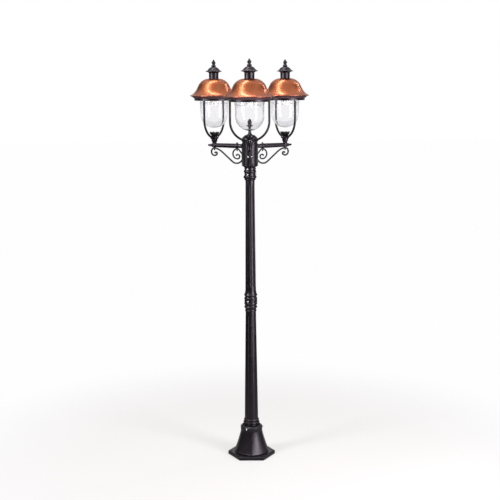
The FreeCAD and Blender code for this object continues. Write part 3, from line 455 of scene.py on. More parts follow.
# %% [markdown]
# Satin black powder coat covers nearly everything. It is a hard film with a fine orange peel, and where
# it pooled it is a little smoother. Its black leans to purple in the light.

# %% Black powder coat


def powder_coat(name, roughness):
    """A fine peel in the bumps, and a broad flow in the tone and the roughness."""
    finish = new_finish(name)
    place = finish.place()
    peel = finish.noise(place, 900.0, 2.0)
    flow = finish.noise(place, 45.0, 4.0)
    return finish.surface(
        Base_Color=finish.mix(flow, (0.0024, 0.0017, 0.0027), (0.0050, 0.0037, 0.0056)),
        Roughness=roughness + (flow - 0.5) * 0.16 + (peel - 0.5) * 0.06,
        Normal=finish.bump(peel + flow * 0.5, 0.25, 0.0003),
        Specular_Tint=(0.95, 0.83, 0.97, 1),
    )


black_casting = powder_coat("black_casting", 0.37)
black_rod = powder_coat("black_rod", 0.40)
print("black coats made")

# %% [markdown]
# The screws are bright zinc plated steel. Its fine spangle is a change of tone and of roughness.

# %% Bright steel


def bright_steel():
    finish = new_finish("bright_steel")
    spangle = finish.noise(finish.place(), 700.0, 2.0)
    colour = finish.mix(spangle, (0.52, 0.53, 0.54), (0.72, 0.72, 0.72))
    return finish.surface(Base_Color=colour, Metallic=1.0, Roughness=0.22 + spangle * 0.18)


steel = bright_steel()
print("steel made")

# %% [markdown]
# The roofs are spun copper. The spinner's tool leaves very fine rings, each at one distance along the
# outline, and lacquer keeps the metal bright. The rings come from noise that changes fast along the
# outline and slowly round it. A broad, faint mottling shifts the tone. Past the brim, on the hem in the
# shade under it, the copper is painted a dark purple brown as painted shade, and is rougher with no coat.

# %% Spun copper
# The length of the outside outline up to the brim; past it the hem carries painted shade.
BRIM_RUN = 0.1765


def spun_copper():
    finish = new_finish("spun_copper")
    place = finish.local()
    around = finish.vector("MULTIPLY", place, (9.0, 9.0, 0.0))
    along = finish.node("ShaderNodeCombineXYZ", None, {"Z": finish.run() * 1500.0}).outputs[0]
    rings = finish.noise(finish.vector("ADD", around, along), 1.0, 3.0, 0.6)
    mottle = finish.noise(place, 22.0, 4.0)
    colour = finish.ramp(0.6 * mottle + 0.4 * rings, (0.3, (0.38, 0.100, 0.038)),
                         (0.5, (0.46, 0.130, 0.052)), (0.7, (0.54, 0.170, 0.074)))
    # Painted shade: past the brim the hem gets a dark purple brown instead of copper, and is rougher and
    # uncoated.
    shaded_dull_hem = finish.rise(finish.run(), BRIM_RUN, BRIM_RUN + 0.006)
    painted_hem_shade = finish.mix(mottle, (0.22, 0.12, 0.14), (0.32, 0.18, 0.21))
    return finish.surface(
        Base_Color=finish.mix(shaded_dull_hem, colour, painted_hem_shade), Metallic=1.0,
        Roughness=0.33 + (rings - 0.5) * 0.04 + shaded_dull_hem * 0.2,
        Normal=finish.bump(rings, 0.006, 0.0002),
        Coat_Weight=0.3 - shaded_dull_hem * 0.3, Coat_Roughness=0.12,
    )


copper = spun_copper()
print("copper made")

# %% [markdown]
# The glass is clear with a faint lilac tone, and blown glass is never quite even: broad, shallow waves move
# its soft reflections. The lamps' own light goes straight through it, because bending that light too would
# only bring grain into the picture.

# %% Glass, porcelain and rubber


def clear_glass():
    """A bending glass for every ray but the lamps' own, which go straight through."""
    finish = new_finish("clear_glass")
    waves = finish.noise(finish.place(), 14.0, 1.0)
    tint = finish.mix(waves, (0.88, 0.875, 0.89), (0.90, 0.895, 0.91))
    finish.surface(Base_Color=tint, Transmission_Weight=1.0, IOR=1.5, Roughness=0.0,
                   Normal=finish.bump(waves, 0.01, 0.002), Specular_Tint=(0.35, 0.35, 0.36, 1))
    bending = finish.output.inputs["Surface"].links[0].from_socket
    straight = finish.node("ShaderNodeBsdfTransparent", None, {"Color": (0.97, 0.97, 0.97, 1)})
    lamp_ray = finish.node("ShaderNodeLightPath").outputs["Is Shadow Ray"]
    return finish.close(finish.node("ShaderNodeMixShader", None, [lamp_ray, bending, straight.outputs[0]]))


def porcelain():
    finish = new_finish("porcelain")
    cloud = finish.noise(finish.place(), 60.0, 3.0)
    colour = finish.mix(cloud, (0.80, 0.79, 0.76), (0.87, 0.86, 0.84))
    return finish.surface(Base_Color=colour, Roughness=0.12 + cloud * 0.08,
                          Normal=finish.bump(cloud, 0.1, 0.001))


def rubber():
    finish = new_finish("rubber")
    grain = finish.noise(finish.place(), 500.0, 3.0)
    colour = finish.mix(grain, (0.012, 0.012, 0.012), (0.03, 0.03, 0.03))
    return finish.surface(Base_Color=colour, Roughness=0.7 + grain * 0.2,
                          Normal=finish.bump(grain, 0.3, 0.0004))


glass = clear_glass()
white_porcelain = porcelain()
black_rubber = rubber()
print("glass, porcelain and rubber made")

# %% [markdown]
# A few plain pieces sit inside: the terminal block in the drum, and over each glass its gasket and the
# strip that bridges it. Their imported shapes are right, so they only get their finishes.

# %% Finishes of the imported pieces
finishes = {"terminal": white_porcelain, "bridge": steel, "gasket": black_rubber}
for node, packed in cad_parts.items():
    packed.data.materials.clear()
    packed.data.materials.append(finishes.get(node.split("_")[0], black_casting))
print(len(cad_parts), "packed pieces finished")

# %% [markdown]
# The foot is one hollow casting: a hexagonal plinth with a bell on it. A hexagon with slightly rounded
# corners has a simple formula, and the bell is a round whose radius swells towards six ridges. Both are
# the same kind of grid, so they join into a single closed skin, outside and in.

# %% Base casting
BASE_COLUMNS = 240
base_angle = even_angles(BASE_COLUMNS)


def six_sided(profile, power=90):
    """A hexagon of corner radius R at each height: the radius is R cos 30 / (sum of cos(a - face)^p)^(1/p)
    over the faces that look that way. A higher p makes a sharper corner."""
    faces = np.radians(30 + 60 * np.arange(6))
    looking = np.clip(np.cos(base_angle[:, None] - faces), 0, None)
    shape = math.cos(math.radians(30)) / (looking ** power).sum(1) ** (1 / power)
    corner, z = np.asarray(profile, float).T[..., None]
    return polar(corner * shape, base_angle, z)


def ridged(profile):
    """Six ridges on a round: the radius is face + (ridge - face) u^2, where u grows evenly from 0 at the
    middle of a face to 1 at a ridge. A profile point is (face, ridge, z)."""
    u = np.abs((np.degrees(base_angle) + 30) % 60 - 30) / 30
    face, ridge, z = np.asarray(profile, float).T[..., None]
    return polar(face + (ridge - face) * u ** 2, base_angle, z)


def bell(inset, low, high, count):
    """The flare: at height t the face stands flare (1 - t)^1.25 outside the rim, and a ridge stands
    1.2 + 5.8 (1 - t)^1.25 further out."""
    t = np.linspace(0, 1, count)
    fall = (1 - t) ** 1.25
    face = bell_rim - inset + bell_flare * fall
    return np.stack([face, face + 1.2 + 5.8 * fall, low + (high - low) * t], -1)


bell_top = ends("base_casting")[1]
plinth_corner, plinth_top = 139.0, 21.0
bell_rim, bell_flare, casting_wall = 62.4, 38.6, 6
anchor_reach, rim_radius = 118, 63.6
band_foot = bell_top - 30
plinth_outside = soften([(130, 0), (plinth_corner, 0), (plinth_corner, plinth_top - 5),
                         (plinth_corner - 5, plinth_top), (122.5, plinth_top)], 1.0, False)
bell_foot = [(96.0, 102.5, plinth_top), (99.2, 106.0, plinth_top + 2), (99.8, 106.8, plinth_top + 5)]
bell_outside = np.concatenate([bell_foot, bell(0, plinth_top, band_foot, 44)[3:]])
band = soften([(bell_rim, band_foot), (rim_radius, band_foot + 1.2), (rim_radius, bell_top - 8),
               (55.4, bell_top), (50.7, bell_top), (50.7, bell_top - 19), (41.7, bell_top - 19),
               (41.7, bell_top - 66), (47.7, bell_top - 66), (47.7, bell_top - 25),
               (57.0, bell_top - 25)], 1.0, False)
bell_inside = bell(casting_wall, plinth_top - casting_wall, band_foot, 24)[::-1]
plinth_inside = [(114, plinth_top - casting_wall), (130, plinth_top - casting_wall)]
skins = [six_sided(plinth_outside), ridged(bell_outside), turned(band, BASE_COLUMNS), ridged(bell_inside),
         six_sided(plinth_inside)]
base = build("base", [shell(np.concatenate(skins), True)], black_casting, ["base_casting"])
print("base of", len(base.data.polygons), "faces")

# %% [markdown]
# The real plinth is bolted down through its corners. Each hole is cut from the finished skin with a
# Boolean, because a grid cannot have holes. The cutter is thrown away.

# %% Anchor holes


def punch(piece, cutters):
    """Cuts closed shells out of a piece and keeps the result as the piece's own mesh."""
    points, faces, run = joined(cutters)
    cutter = add_object("cutter", points * MM, faces)
    cut = piece.modifiers.new("cut", "BOOLEAN")
    cut.object, cut.operation, cut.solver = cutter, "DIFFERENCE", "EXACT"
    finished = bpy.data.meshes.new_from_object(piece.evaluated_get(bpy.context.evaluated_depsgraph_get()))
    piece.modifiers.clear()
    piece.data = finished
    finished.set_sharp_from_angle(angle=SHARP)
    bpy.data.objects.remove(cutter)


drill = shell(turned([(0, plinth_top - 14), (5.5, plinth_top - 14), (5.5, plinth_top - 0.8),
                      (8.5, plinth_top + 2), (0, plinth_top + 2)], 24))
punch(base, [moved(drill, (anchor_reach, 0, 0), 60 * i) for i in range(6)])
print("plinth drilled:", len(base.data.polygons), "faces")

# %% [markdown]
# The collars are turned castings with rings and grooves. Their outlines are arcs between the ring
# diameters, softened at every corner, and each is one closed skin round its bore.

# %% Foot collar
foot, top = ends("foot_collar")
ring, lip = bell_top + 17, 40.5
foot_collar = lathe((34.2, foot), (41.5, foot), (41.5, ring - 14), ((38.4, ring - 9.5), (41.2, ring - 5.6)),
                    ((48.0, ring), (41.0, ring + 6)), ((39.6, ring + 8.6), (41.2, ring + 11)),
                    ((44.4, ring + 15.5), (lip, top - 3)), (lip, top), (34.2, top))
build("foot_collar_ring", [foot_collar], black_casting, ["foot_collar"])
print("foot collar", round(top - foot), "mm tall")

# %% [markdown]
# Each tube has twelve flutes, cut by a round ended tool that follows the taper. The tool's centre runs
# just outside the surface, so a flute's floor lies on the tool's circle. Where the tool ends, its radius
# shrinks as a ball's does, and the flute closes in a rounded end.

# %% Fluted tubes


def flute_floor(centre, tool, angle):
    """Where a ray at this angle from the tool's middle meets its circle: c cos a - sqrt(t^2 - c^2 sin^2 a),
    with the tool's centre at radius c. It is out of reach where the root has no value."""
    inside = tool ** 2 - (centre * np.sin(angle)) ** 2
    return np.where(inside > 0, centre * np.cos(angle) - np.sqrt(np.clip(inside, 0, None)), np.inf)


def flute_edge(radius, centre, tool):
    """The angle at which the tool's circle crosses the surface, by the cosine rule."""
    return np.arccos((radius ** 2 + centre ** 2 - tool ** 2) / (2 * radius * centre))


def fluted(radius, z, first, last, count, tool, depth, azimuth):
    """A round surface with flutes between two heights. Columns are spaced by groove and land, so that the
    flutes' edges are real edges of the grid."""
    radius, z = (np.asarray(a, float)[:, None] for a in (radius, z))
    centre = radius + tool - depth
    edge = flute_edge(radius, centre, tool)
    pitch = 2 * math.pi / count
    across = np.linspace(-1, 1, 11)[None]
    over = np.linspace(0, 1, 6)[None, 1:-1]
    offset = np.concatenate([across * edge, edge + over * (pitch - 2 * edge)], 1)
    beyond = np.clip(np.maximum(first - z, z - last), 0, tool)
    ball = np.sqrt(tool ** 2 - beyond ** 2)
    cut = np.minimum(radius, flute_floor(centre, ball, offset))
    cut = np.where(beyond < tool, cut, radius)
    angle = math.radians(azimuth) + pitch * np.arange(count)[None, :, None] + offset[:, None]
    r = np.broadcast_to(cut[:, None], angle.shape).reshape(len(z), -1)
    angle = angle.reshape(len(z), -1)
    return polar(r, angle, z)


def hoops(like, profile):
    """Round rows (r, z) whose columns lie at the same angles as those of a fluted skin."""
    spin = like[0, :, :2] / np.linalg.norm(like[0, :, :2], axis=1)[:, None]
    r, z = np.asarray(profile, float).T[..., None]
    return np.stack([r * spin[:, 0], r * spin[:, 1], z + 0 * spin[:, 0]], -1)


def fluted_tube(foot, top, foot_radius, head_radius, azimuth, lower, upper):
    """The tapered tube between its two spigots, which are hidden in the collars: (radius, length)."""
    margin, tool, depth = 30.0, 4.2, 1.9
    run_out = np.sin(np.linspace(0, math.pi / 2, 9)) * tool
    z = np.concatenate([[foot, foot + 8], foot + margin - run_out[::-1],
                        np.linspace(foot + margin, top - margin, 14)[1:-1], top - margin + run_out,
                        [top - 8, top]])
    radius = foot_radius + (head_radius - foot_radius) * (z - foot) / (top - foot)
    skin = fluted(radius, z, foot + margin, top - margin, 12, tool, depth, azimuth)
    below = hoops(skin, [(lower[0] - 4, foot - lower[1]), (lower[0], foot - lower[1]), (lower[0], foot)])
    above = hoops(skin, [(upper[0], top), (upper[0], top + upper[1]), (upper[0] - 4, top + upper[1])])
    return shell(np.concatenate([below, skin, above]), True)


post_foot = ends("foot_collar")[1]
joint_foot, joint_top = ends("mid_collar")
head_foot, head_top = ends("top_collar")
build("lower_tube", [fluted_tube(post_foot, joint_foot, 39.3, 30.0, -82, (34, 72), (25.8, 39.8))],
      black_casting, ["lower_post"])
build("upper_tube", [fluted_tube(joint_top, head_foot, 30.6, 26.0, -90, (25.8, 71.8), (21, 37.8))],
      black_casting, ["upper_post"])
print("tubes from", round(post_foot), "to", round(head_foot), "mm")

# %% Mid and top collars
foot, top = joint_foot, joint_top
middle = (foot + top) / 2
mid_radius, neck_radius = 36, 31.5
mid_collar = lathe((26, foot), (31.2, foot), ((33.1, foot + 5), (31.2, foot + 10)),
                   ((32.4, foot + 18), (38.4, foot + 25)), (38.4, foot + 27),
                   ((33.6, foot + 35.5), (36.2, middle - 17)),
                   ((37.7, middle - 13), (mid_radius, middle - 8.5)), (mid_radius, middle + 11.5),
                   ((37.7, middle + 17), (36.2, middle + 21)), ((33.6, middle + 28), (38.4, top - 25)),
                   (38.4, top - 22.5), ((33.8, top - 12), (31.8, top)), (26, top), (26, foot + 48),
                   (14, foot + 48), (14, foot + 40), (26, foot + 40))
build("mid_collar_rings", [mid_collar], black_casting, ["mid_collar"])

foot, top = head_foot, head_top
top_collar = lathe((21.2, foot), (27.2, foot), ((31.6, foot + 4), (28.2, foot + 9)),
                   ((37.4, foot + 18.5), (neck_radius, foot + 27)), (neck_radius, foot + 42),
                   ((35.9, foot + 49.5), (neck_radius, foot + 57)), (neck_radius, top), (24.2, top),
                   (24.2, foot + 43), (14, foot + 43), (14, foot + 38), (21.2, foot + 38))
build("top_collar_rings", [top_collar], black_casting, ["top_collar"])
print("collars turned")

# %% [markdown]
# The drum, its lid and the spear on top are turned too. The drum is hollow, and its two lips are the
# widest part of the head.

# %% Drum, lid and spear
foot, top = head_top, ends("hub_body")[1]
lip_foot, lip_radius, drum_radius = foot + 14, 46.6, 42.7
drum = lathe((14, foot - 26), (24, foot - 26), (24, foot), (neck_radius, foot), (neck_radius, foot + 3),
             (lip_radius, lip_foot), (lip_radius, lip_foot + 3.5), (drum_radius, lip_foot + 5.5),
             (drum_radius, top - 5.5), (lip_radius, top - 5.5), (lip_radius, top), (35.7, top),
             (35.7, lip_foot + 6), (14, lip_foot + 6))
build("drum", [drum], black_casting, ["hub_body"])

cap_top = ends("hub_cap")[1]
lid = lathe((5.1, cap_top), (17.5, cap_top), ((34.5, cap_top - 6.5), (44, cap_top - 19)), (45.6, top + 6),
            (lip_radius, top), (35.5, top), (35.5, top - 6), (31.5, top - 6), (31.5, top + 8),
            ((22, cap_top - 11), (5.1, cap_top - 6)))
build("lid", [lid], black_casting, ["hub_cap"])

spear_top = ends("hub_finial")[1]
spear = outline((0, cap_top - 45), (4.9, cap_top - 45), (4.9, cap_top), (17, cap_top),
                ((10.4, cap_top + 9), (8.2, cap_top + 26)), ((12, cap_top + 35.5), (21.2, cap_top + 43)),
                (21.2, cap_top + 47), ((12.5, cap_top + 51.5), (9.4, cap_top + 57)),
                ((12.6, cap_top + 60), (13.5, cap_top + 68)), ((8.8, cap_top + 81), (1, spear_top)),
                (0, spear_top))
build("spear", [pin(spear, 0.6, 64)], black_casting, ["hub_finial"])
print("head up to", round(spear_top), "mm")

# %% [markdown]
# An arm is one casting: a curved pad against the drum, a tapering tube with a ring and a spike on it, a
# boss under the lantern, and a ball at its tip. The tube is an outline turned round the arm's own axis.
# The pad is a plate bent to the drum, whose edge falls away on a quarter round.

# %% Arm
arm_level = ends("hub_body")[1] - 32.5
pad_back, pad_face = drum_radius + 0.2, lip_radius
spike_reach, spike_seat, boss_seat, boss_height = 83.5, 13.4, 11.8, 12.4


def rounded_span(low, high, radius, middle):
    """Positions from low to high, close together near both ends, where the edge is rounded."""
    near = radius * (1 - np.cos(np.linspace(0, math.pi / 2, 6)))
    return np.concatenate([low + near, np.linspace(low + radius, high - radius, middle + 2)[1:-1],
                           (high - near)[::-1]])


def bent_pad(half_angle, foot, top, radius=1.6):
    """A plate bent round the drum: depth sqrt(1 - (1 - d/r)^2), where d is the distance to its edge."""
    wide = math.radians(half_angle) * pad_face
    across = rounded_span(-wide, wide, radius, 20)
    up = rounded_span(foot, top, radius, 12)
    edge_x = np.clip((wide - np.abs(across)) / radius, 0, 1)
    edge_z = np.clip(np.minimum(up - foot, top - up) / radius, 0, 1)
    depth = np.sqrt(1 - (1 - edge_x[None]) ** 2) * np.sqrt(1 - (1 - edge_z[:, None]) ** 2)
    angle = np.broadcast_to(across / pad_face, depth.shape)
    z = np.broadcast_to(up[:, None], depth.shape)
    r = pad_back + (pad_face - pad_back) * depth
    return plate(polar(r, angle, z), polar(pad_back, angle, z))


tube = outline((0, pad_face - 3), (17.4, pad_face - 2), (17.4, pad_face + 1),
               ((13, pad_face + 3.5), (12, pad_face + 8)), (12, 69.5), ((13.2, 75.5), (15.2, 78.5)),
               (15.2, 88.5), (spike_seat, 88.5), (boss_seat, arm_reach), (10.6, arm_reach + 15.4),
               (8.6, arm_reach + 16.4), (8.6, arm_reach + 23.4), (4.6, 266.3), (4.6, 267.3),
               ((6.2, 271.5), (4.4, 275.9)), ((2.4, 277.2), (0, 277.7)))
tube = turned(soften(tube, 0.8, False), 48)[..., [2, 1, 0]] * [1, 1, -1] + [0, 0, arm_level]
spike = pin(outline((0, 0), (5.2, 0), (5.2, 14.4), ((4.6, 17), (0, 21.5))), 0.6, 32)
boss = pin([(0, -boss_seat), (12.4, -boss_seat), (12.4, boss_height), (0, boss_height)], 1.0, 48)
pad_foot, pad_top = arm_level - 101.7, arm_level + 16.5
arm_shells = [bent_pad(27, pad_foot, pad_top), shell(tube), moved(spike, (spike_reach, 0, arm_level)),
              moved(boss, (arm_reach, 0, arm_level))]
on_each_arm("arm_casting", arm_shells, black_casting, "arm", shift=0.0)
print("arms at", round(arm_level), "mm, pads from", round(pad_foot))

# %% [markdown]
# The scrolls are round steel rods, bent cold. A bent rod is a path of straights and arcs, each arc given
# by its radius and its angle, as a smith's bending plan gives them. Both touch the arm with their crest,
# and end in a small ball.

# %% Scrolls


def bent_path(x, z, heading, moves):
    """Walks the plan: a straight adds its length along the heading, and an arc turns about a centre that
    lies one radius to the side, upwards where the angle is positive."""
    path = [np.array([[x, z]], float)]
    for size, degrees in moves:
        here = path[-1][-1]
        along = np.array([math.cos(heading), math.sin(heading)])
        if degrees == 0:
            path.append(here + along * np.linspace(0, size, 8)[1:, None])
            continue
        side = math.copysign(1, degrees)
        centre = here + side * size * np.array([-along[1], along[0]])
        swept_by = np.radians(np.linspace(0, degrees, int(abs(degrees) / 4) + 3))[1:]
        swing = heading - side * math.pi / 2 + swept_by
        path.append(centre + size * np.stack([np.cos(swing), np.sin(swing)], -1))
        heading += math.radians(degrees)
    return np.concatenate(path)


def ball_ended(path, radius, ball):
    """Adds a ball centred on the path's end. At a distance d from its centre its radius is
    sqrt(ball^2 - d^2), and the rod runs into it where that equals the rod's own."""
    end = path[-1]
    along = (end - path[-2]) / np.linalg.norm(end - path[-2])
    neck = math.sqrt(ball ** 2 - radius ** 2)
    d = np.sin(np.linspace(-math.pi / 2, math.pi / 2, 21)) * ball
    d = d[d > -neck]
    rod = path[np.linalg.norm(path - end, axis=1) > neck]
    radii = np.append(np.full(len(rod), radius), np.sqrt(np.clip(ball ** 2 - d ** 2, 0, None)))
    return np.concatenate([rod, end + along * d[:, None]]), radii


def scroll(heading, before, curls, reach, crest, radius):
    """A scroll whose one straight is as long as it takes to bring the crest under the arm at this reach.
    The crest is the top of the first curl: the curl's start plus R (sin h, 1 - cos h)."""
    start = math.radians(heading)
    straight = [degrees for size, degrees in before].index(0)
    slope = start + math.radians(sum(degrees for size, degrees in before[:straight]))
    arrive = start + math.radians(sum(degrees for size, degrees in before))
    top = bent_path(pad_face, 0, start, before)[-1]
    top = top + curls[0][0] * np.array([math.sin(arrive), 1 - math.cos(arrive)])
    stretch = (reach - top[0]) / math.cos(slope)
    plan = [(size + stretch, 0) if degrees == 0 else (size, degrees) for size, degrees in before]
    foot = crest - radius - top[1] - stretch * math.sin(slope)
    path = bent_path(pad_face, foot, start, plan + [(size, -degrees) for size, degrees in curls])
    lead = path[0] - 2 * radius * np.array([math.cos(start), math.sin(start)])
    path, radii = ball_ended(np.concatenate([[lead], path]), radius, radius + 0.9)
    rod = swept(path, radii)
    cap = rod[:1].mean(1, keepdims=True) + 0 * rod[:1]
    return shell(np.concatenate([cap, rod]))


long_rod, short_rod, seat_gap = 4.8, 4.3, 0.1
outer = scroll(-67.5, [(45, 105.4), (60, 0), (97.8, -31.2)], [(20.9, 232.8), (7.4, 180)], arm_reach,
               arm_level - boss_seat - seat_gap, long_rod)
inner = scroll(49.4, [(10, 0), (10, -32)], [(27.7, 214), (11.9, 210)], spike_reach,
               arm_level - spike_seat - seat_gap, short_rod)
on_each_arm("long_scroll", [outer], black_rod, "outer_scroll", shift=0.0)
on_each_arm("short_scroll", [inner], black_rod, "inner_scroll", shift=0.0)
print("scrolls bent, lowest point", round(outer[0][:, 2].min()), "mm")

# %% [markdown]
# Each lantern stands on a fluted stem. Its outline swells towards the collar, and eight shallow flutes
# are cut as on the tubes. The crown above it is a cup whose rim is notched into eight petals: the skin's
# upper part simply ends lower where a notch is, and keeps its own radius at every height.

# %% Stem and crown
boss_top = arm_level + boss_height
harp_low = arm_level + 42.7
collar_foot = harp_low - 4
rise = collar_foot - boss_top


def make_stem():
    """The outline gives the radius at each height, eight flutes are cut into it, and a collar ends it."""
    side = outline((11.8, boss_top), ((13.4, boss_top + rise * 0.22), (16.6, boss_top + rise * 0.42)),
                   ((17.9, boss_top + rise * 0.7), (18.4, collar_foot - 3)), count=10)
    height = np.linspace(boss_top, collar_foot - 3, 40)
    radius = np.interp(height, side[:, 1], side[:, 0])
    skin = fluted(radius, height, boss_top + 1.5, collar_foot - 8, 8, 4.0, 1.5, 22.5)
    under = hoops(skin, [(4.5, boss_top - 11), (7.4, boss_top - 11), (7.4, boss_top)])
    over = hoops(skin, soften([(18.4, collar_foot - 3), (23, collar_foot), (24, collar_foot + 1),
                               (24, harp_low), (4.5, harp_low)], 0.6, False)[1:])
    return shell(np.concatenate([under, skin, over]), True)


def make_crown():
    """The rim lies at top - depth n, with n going from 1 in a notch to 0 on a petal as 1 - sqrt of the
    distance past the notch's side, which rounds the petals' shoulders."""
    foot, flange, top = harp_low + 0.2, harp_low + 4, harp_low + 34
    columns = 224
    angle = even_angles(columns)
    from_notch = np.radians(np.abs(np.degrees(angle) % 45 - 22.5)) * 26
    notch = 1 - np.sqrt(np.clip((from_notch - 1.9) / 7.0, 0, 1))
    rim = top - 11 * notch
    outside = outline((15.4, flange), ((16, flange + 4), (21, flange + 13)), ((26.4, top - 7), (27, top)),
                      count=20)
    inside = outline((3.4, flange + 9), (16, flange + 14), ((21.8, top - 8), (24, top)), count=20)
    split = flange + 14

    def skin(side, t):
        z = split + (rim - split) * t[:, None]
        r = np.interp(z, side[:, 1], side[:, 0])
        return polar(r, angle, z)

    t = np.linspace(0, 1, 16)
    below = outside[outside[:, 1] < split - 0.1]
    stalk = soften([(3.4, foot), (24, foot), (24, flange), (15.4, flange)], 0.6, False)[:-1]
    outer_skin, inner_skin = skin(outside, t), skin(inside, t)[::-1]
    lip = (outer_skin[-1:] + inner_skin[:1]) / 2 + [0, 0, 0.7]
    grids = [turned(stalk, columns), turned(below, columns), outer_skin, lip, inner_skin,
             turned(inside[:1], columns)]
    return shell(np.concatenate(grids), True)


on_each_arm("fluted_stem", [make_stem()], black_casting, "lamp_stem")
on_each_arm("petal_crown", [make_crown()], black_casting, "crown")
print("stems and crowns made")

# %% [markdown]
# The harp is a steel tube bent to a U, square to the arm. Its ends step down to spigots that plug into
# the glass ring. The ring is a shallow turned pan with bosses where the harp and the bridge meet it.

# %% Harp and glass ring
ring_level, ring_top = ends("glass_ring_front")
harp_bend, harp_rod = 106.0, 6.1
bridge_reach, pan_radius = 98, 112.3


def make_harp():
    """Down one leg, half round the bend and up the other, with a thinner spigot at each end."""
    leg = ring_level - (harp_low + harp_bend)
    path = bent_path(-harp_bend, ring_level, math.radians(-90), [(leg, 0), (harp_bend, 180), (leg, 0)])
    tip = np.array([[0, 7.0], [0, 6.6], [0, -0.9], [0, -1.0]])
    tip_radius = np.array([3.9, 4.4, 4.4, harp_rod])
    inside = path[path[:, 1] < ring_level - 1.2]
    whole = np.concatenate([[-harp_bend, ring_level] + tip, inside, [harp_bend, ring_level] + tip[::-1]])
    radii = np.concatenate([tip_radius, np.full(len(inside), harp_rod), tip_radius[::-1]])
    rod = swept(whole, radii, 28)
    first, last = (row.mean(1, keepdims=True) + 0 * row for row in (rod[:1], rod[-1:]))
    rod = np.concatenate([first, rod, last])
    return shell(rod[..., [1, 0, 2]] * [-1, 1, 1])


def make_ring():
    """The pan, a post under each end of the bridge and a boss over each end of the harp."""
    floor = ring_level + 3
    pan = soften([(82.5, ring_level), (pan_radius, ring_level), (pan_radius, ring_top),
                  (pan_radius - 3, ring_top), (pan_radius - 3, floor), (82.5, floor)], 1.2)
    post = pin([(0, floor - 1), (5.5, floor - 1), (5.5, ring_level + 9.3), (0, ring_level + 9.3)], 0.5, 32)
    boss = pin([(0, ring_level + 1), (6.1, ring_level + 1), (6.1, ring_level + 9), (0, ring_level + 9)],
               0.5, 32)
    posts = [moved(post, (reach, 0, 0)) for reach in (bridge_reach, -bridge_reach)]
    bosses = [moved(boss, (0, reach, 0)) for reach in (harp_bend, -harp_bend)]
    return [shell(turned(pan, 128), True)] + posts + bosses


on_each_arm("harp_tube", [make_harp()], black_rod, "harp")
on_each_arm("pan", make_ring(), black_casting, "glass_ring")
print("harps bent, pans turned")

# %% [markdown]
# The glass is a round bottomed cup, blown in a mould, with a bead near its mouth and a flange to hang
# by. Both its walls are modelled, so that light bends twice in it as in the real one.

# %% Glass and lampholder


def make_glass():
    """Both walls as one outline. Each bottom is a quarter circle, of radius 80 outside and 77 inside."""
    centre = ring_level - 75.3
    seat, top, bead = ring_level + 5, ring_level + 9, ring_level - 15.3
    radius, bore, diagonal = 80, 77, math.sqrt(0.5)
    cup = outline((0, centre - radius), ((radius * diagonal, centre - radius * diagonal), (radius, centre)),
                  (radius, bead - 2.6), ((80.9, bead - 1.6), (81.2, bead)), (81.2, seat), (87, seat),
                  (87, top), (bore, top), (bore, centre),
                  ((bore * diagonal, centre - bore * diagonal), (0, centre - bore)), count=40)
    return shell(turned(soften(cup, 1.2, False, 30), 160))


def make_lampholder():
    """Its bore has the round thread of a lamp cap: the radius waves by half a millimetre, once a pitch."""
    top = ends("bridge_front")[0]
    foot = top - 36
    depth = np.linspace(0, 27, 80)
    thread = np.stack([13.3 - 0.5 + 0.5 * np.cos(depth * 2 * math.pi / 3.63), foot + depth], -1)[::-1]
    skin = outline((18.8, foot), (20.5, foot + 1), (20.5, foot + 19.8),
                   ((19.5, foot + 23.8), (15, foot + 25.9)), (15, top), (3.2, top), (3.2, foot + 27))
    return shell(turned(np.concatenate([soften(skin, 0.8, False), thread]), 64), True)


on_each_arm("glass_cup", [make_glass()], glass, "glass")
on_each_arm("porcelain_holder", [make_lampholder()], white_porcelain, "lampholder")
print("glasses blown")

# %% [markdown]
# The roof is spun from one disc of copper: a flat crown, a shoulder, a hollow curve out to a flared
# brim, and a hem drawn in below it that covers the pan's upper edge. The metal has the same thickness
# everywhere, so the inside repeats the outside. The curve is eased, because a spun sheet cannot have a
# corner.

# %% Roof
copper_sheet, brim_radius = 1.6, 136.2


def make_roof():
    """The inside lies one sheet's thickness from the outside, along the unit normal (dz, -dr) / length."""
    base, top = ends("roof_front")
    brim, hem_foot = base + 11, base - 6
    curve = outline((3.8, top), (38, top), ((68, top - 13), (85, top - 31)), (95.5, top - 53),
                    ((110, top - 75), (brim_radius, brim)), count=40)
    outside = eased(curve, 1.2, 7.0)
    roll = arc_through((brim_radius, brim), (138, brim - 1.8), (brim_radius, brim - 3.6), 14)[1:]
    hem = soften([(brim_radius, brim - 3.6), (124, base + 3), (114.9, hem_foot), (113.4, hem_foot),
                  (113.4, base + 0.6), (123.4, base + 4.6), (132.6, brim - 2.2)], 1.2, False)[1:]
    step = np.gradient(outside, axis=0)
    normal = np.stack([step[:, 1], -step[:, 0]], -1) / np.linalg.norm(step, axis=1, keepdims=True)
    inside = (outside + copper_sheet * normal)[::-1]
    inside = inside[inside[:, 0] < 132]
    inside[-1] = (3.8, top - copper_sheet)
    # The length of the outside up to the brim, where the hem's painted shade begins.
    outside_run = np.linalg.norm(np.diff(outside, axis=0), axis=1).sum() * MM
    print("polished outline", round(outside_run, 4), "m")
    return shell(turned(np.concatenate([outside, roll, hem, inside]), 160), True)


on_each_arm("copper_roof", [make_roof()], copper, "roof", "roof")
print("roofs spun")

# %% [markdown]
# On the roof stands a black cap like a chimney's, and on it the nut that holds all down. The nut ends in
# an acorn with a twist: its radius swells five times round, and the swelling turns as it rises.

# %% Chimney cap and roof nut


def make_chimney():
    foot, top = ends("chimney_cap_front")
    brim = foot + 40.5
    return lathe((27.7, foot), (27.1, foot + 5), (27.7, brim - 9), ((32.2, brim - 5.5), (45.2, brim - 2.2)),
                 (47.0, brim - 1.2), (47.0, brim + 1.0), ((37.8, brim + 5), (30.4, brim + 13)),
                 ((21, top - 3.6), (13, top)), (3.8, top), (3.8, top - 5.5), (20.2, top - 11.5),
                 (25.2, brim - 3), (25.2, foot), count=16)


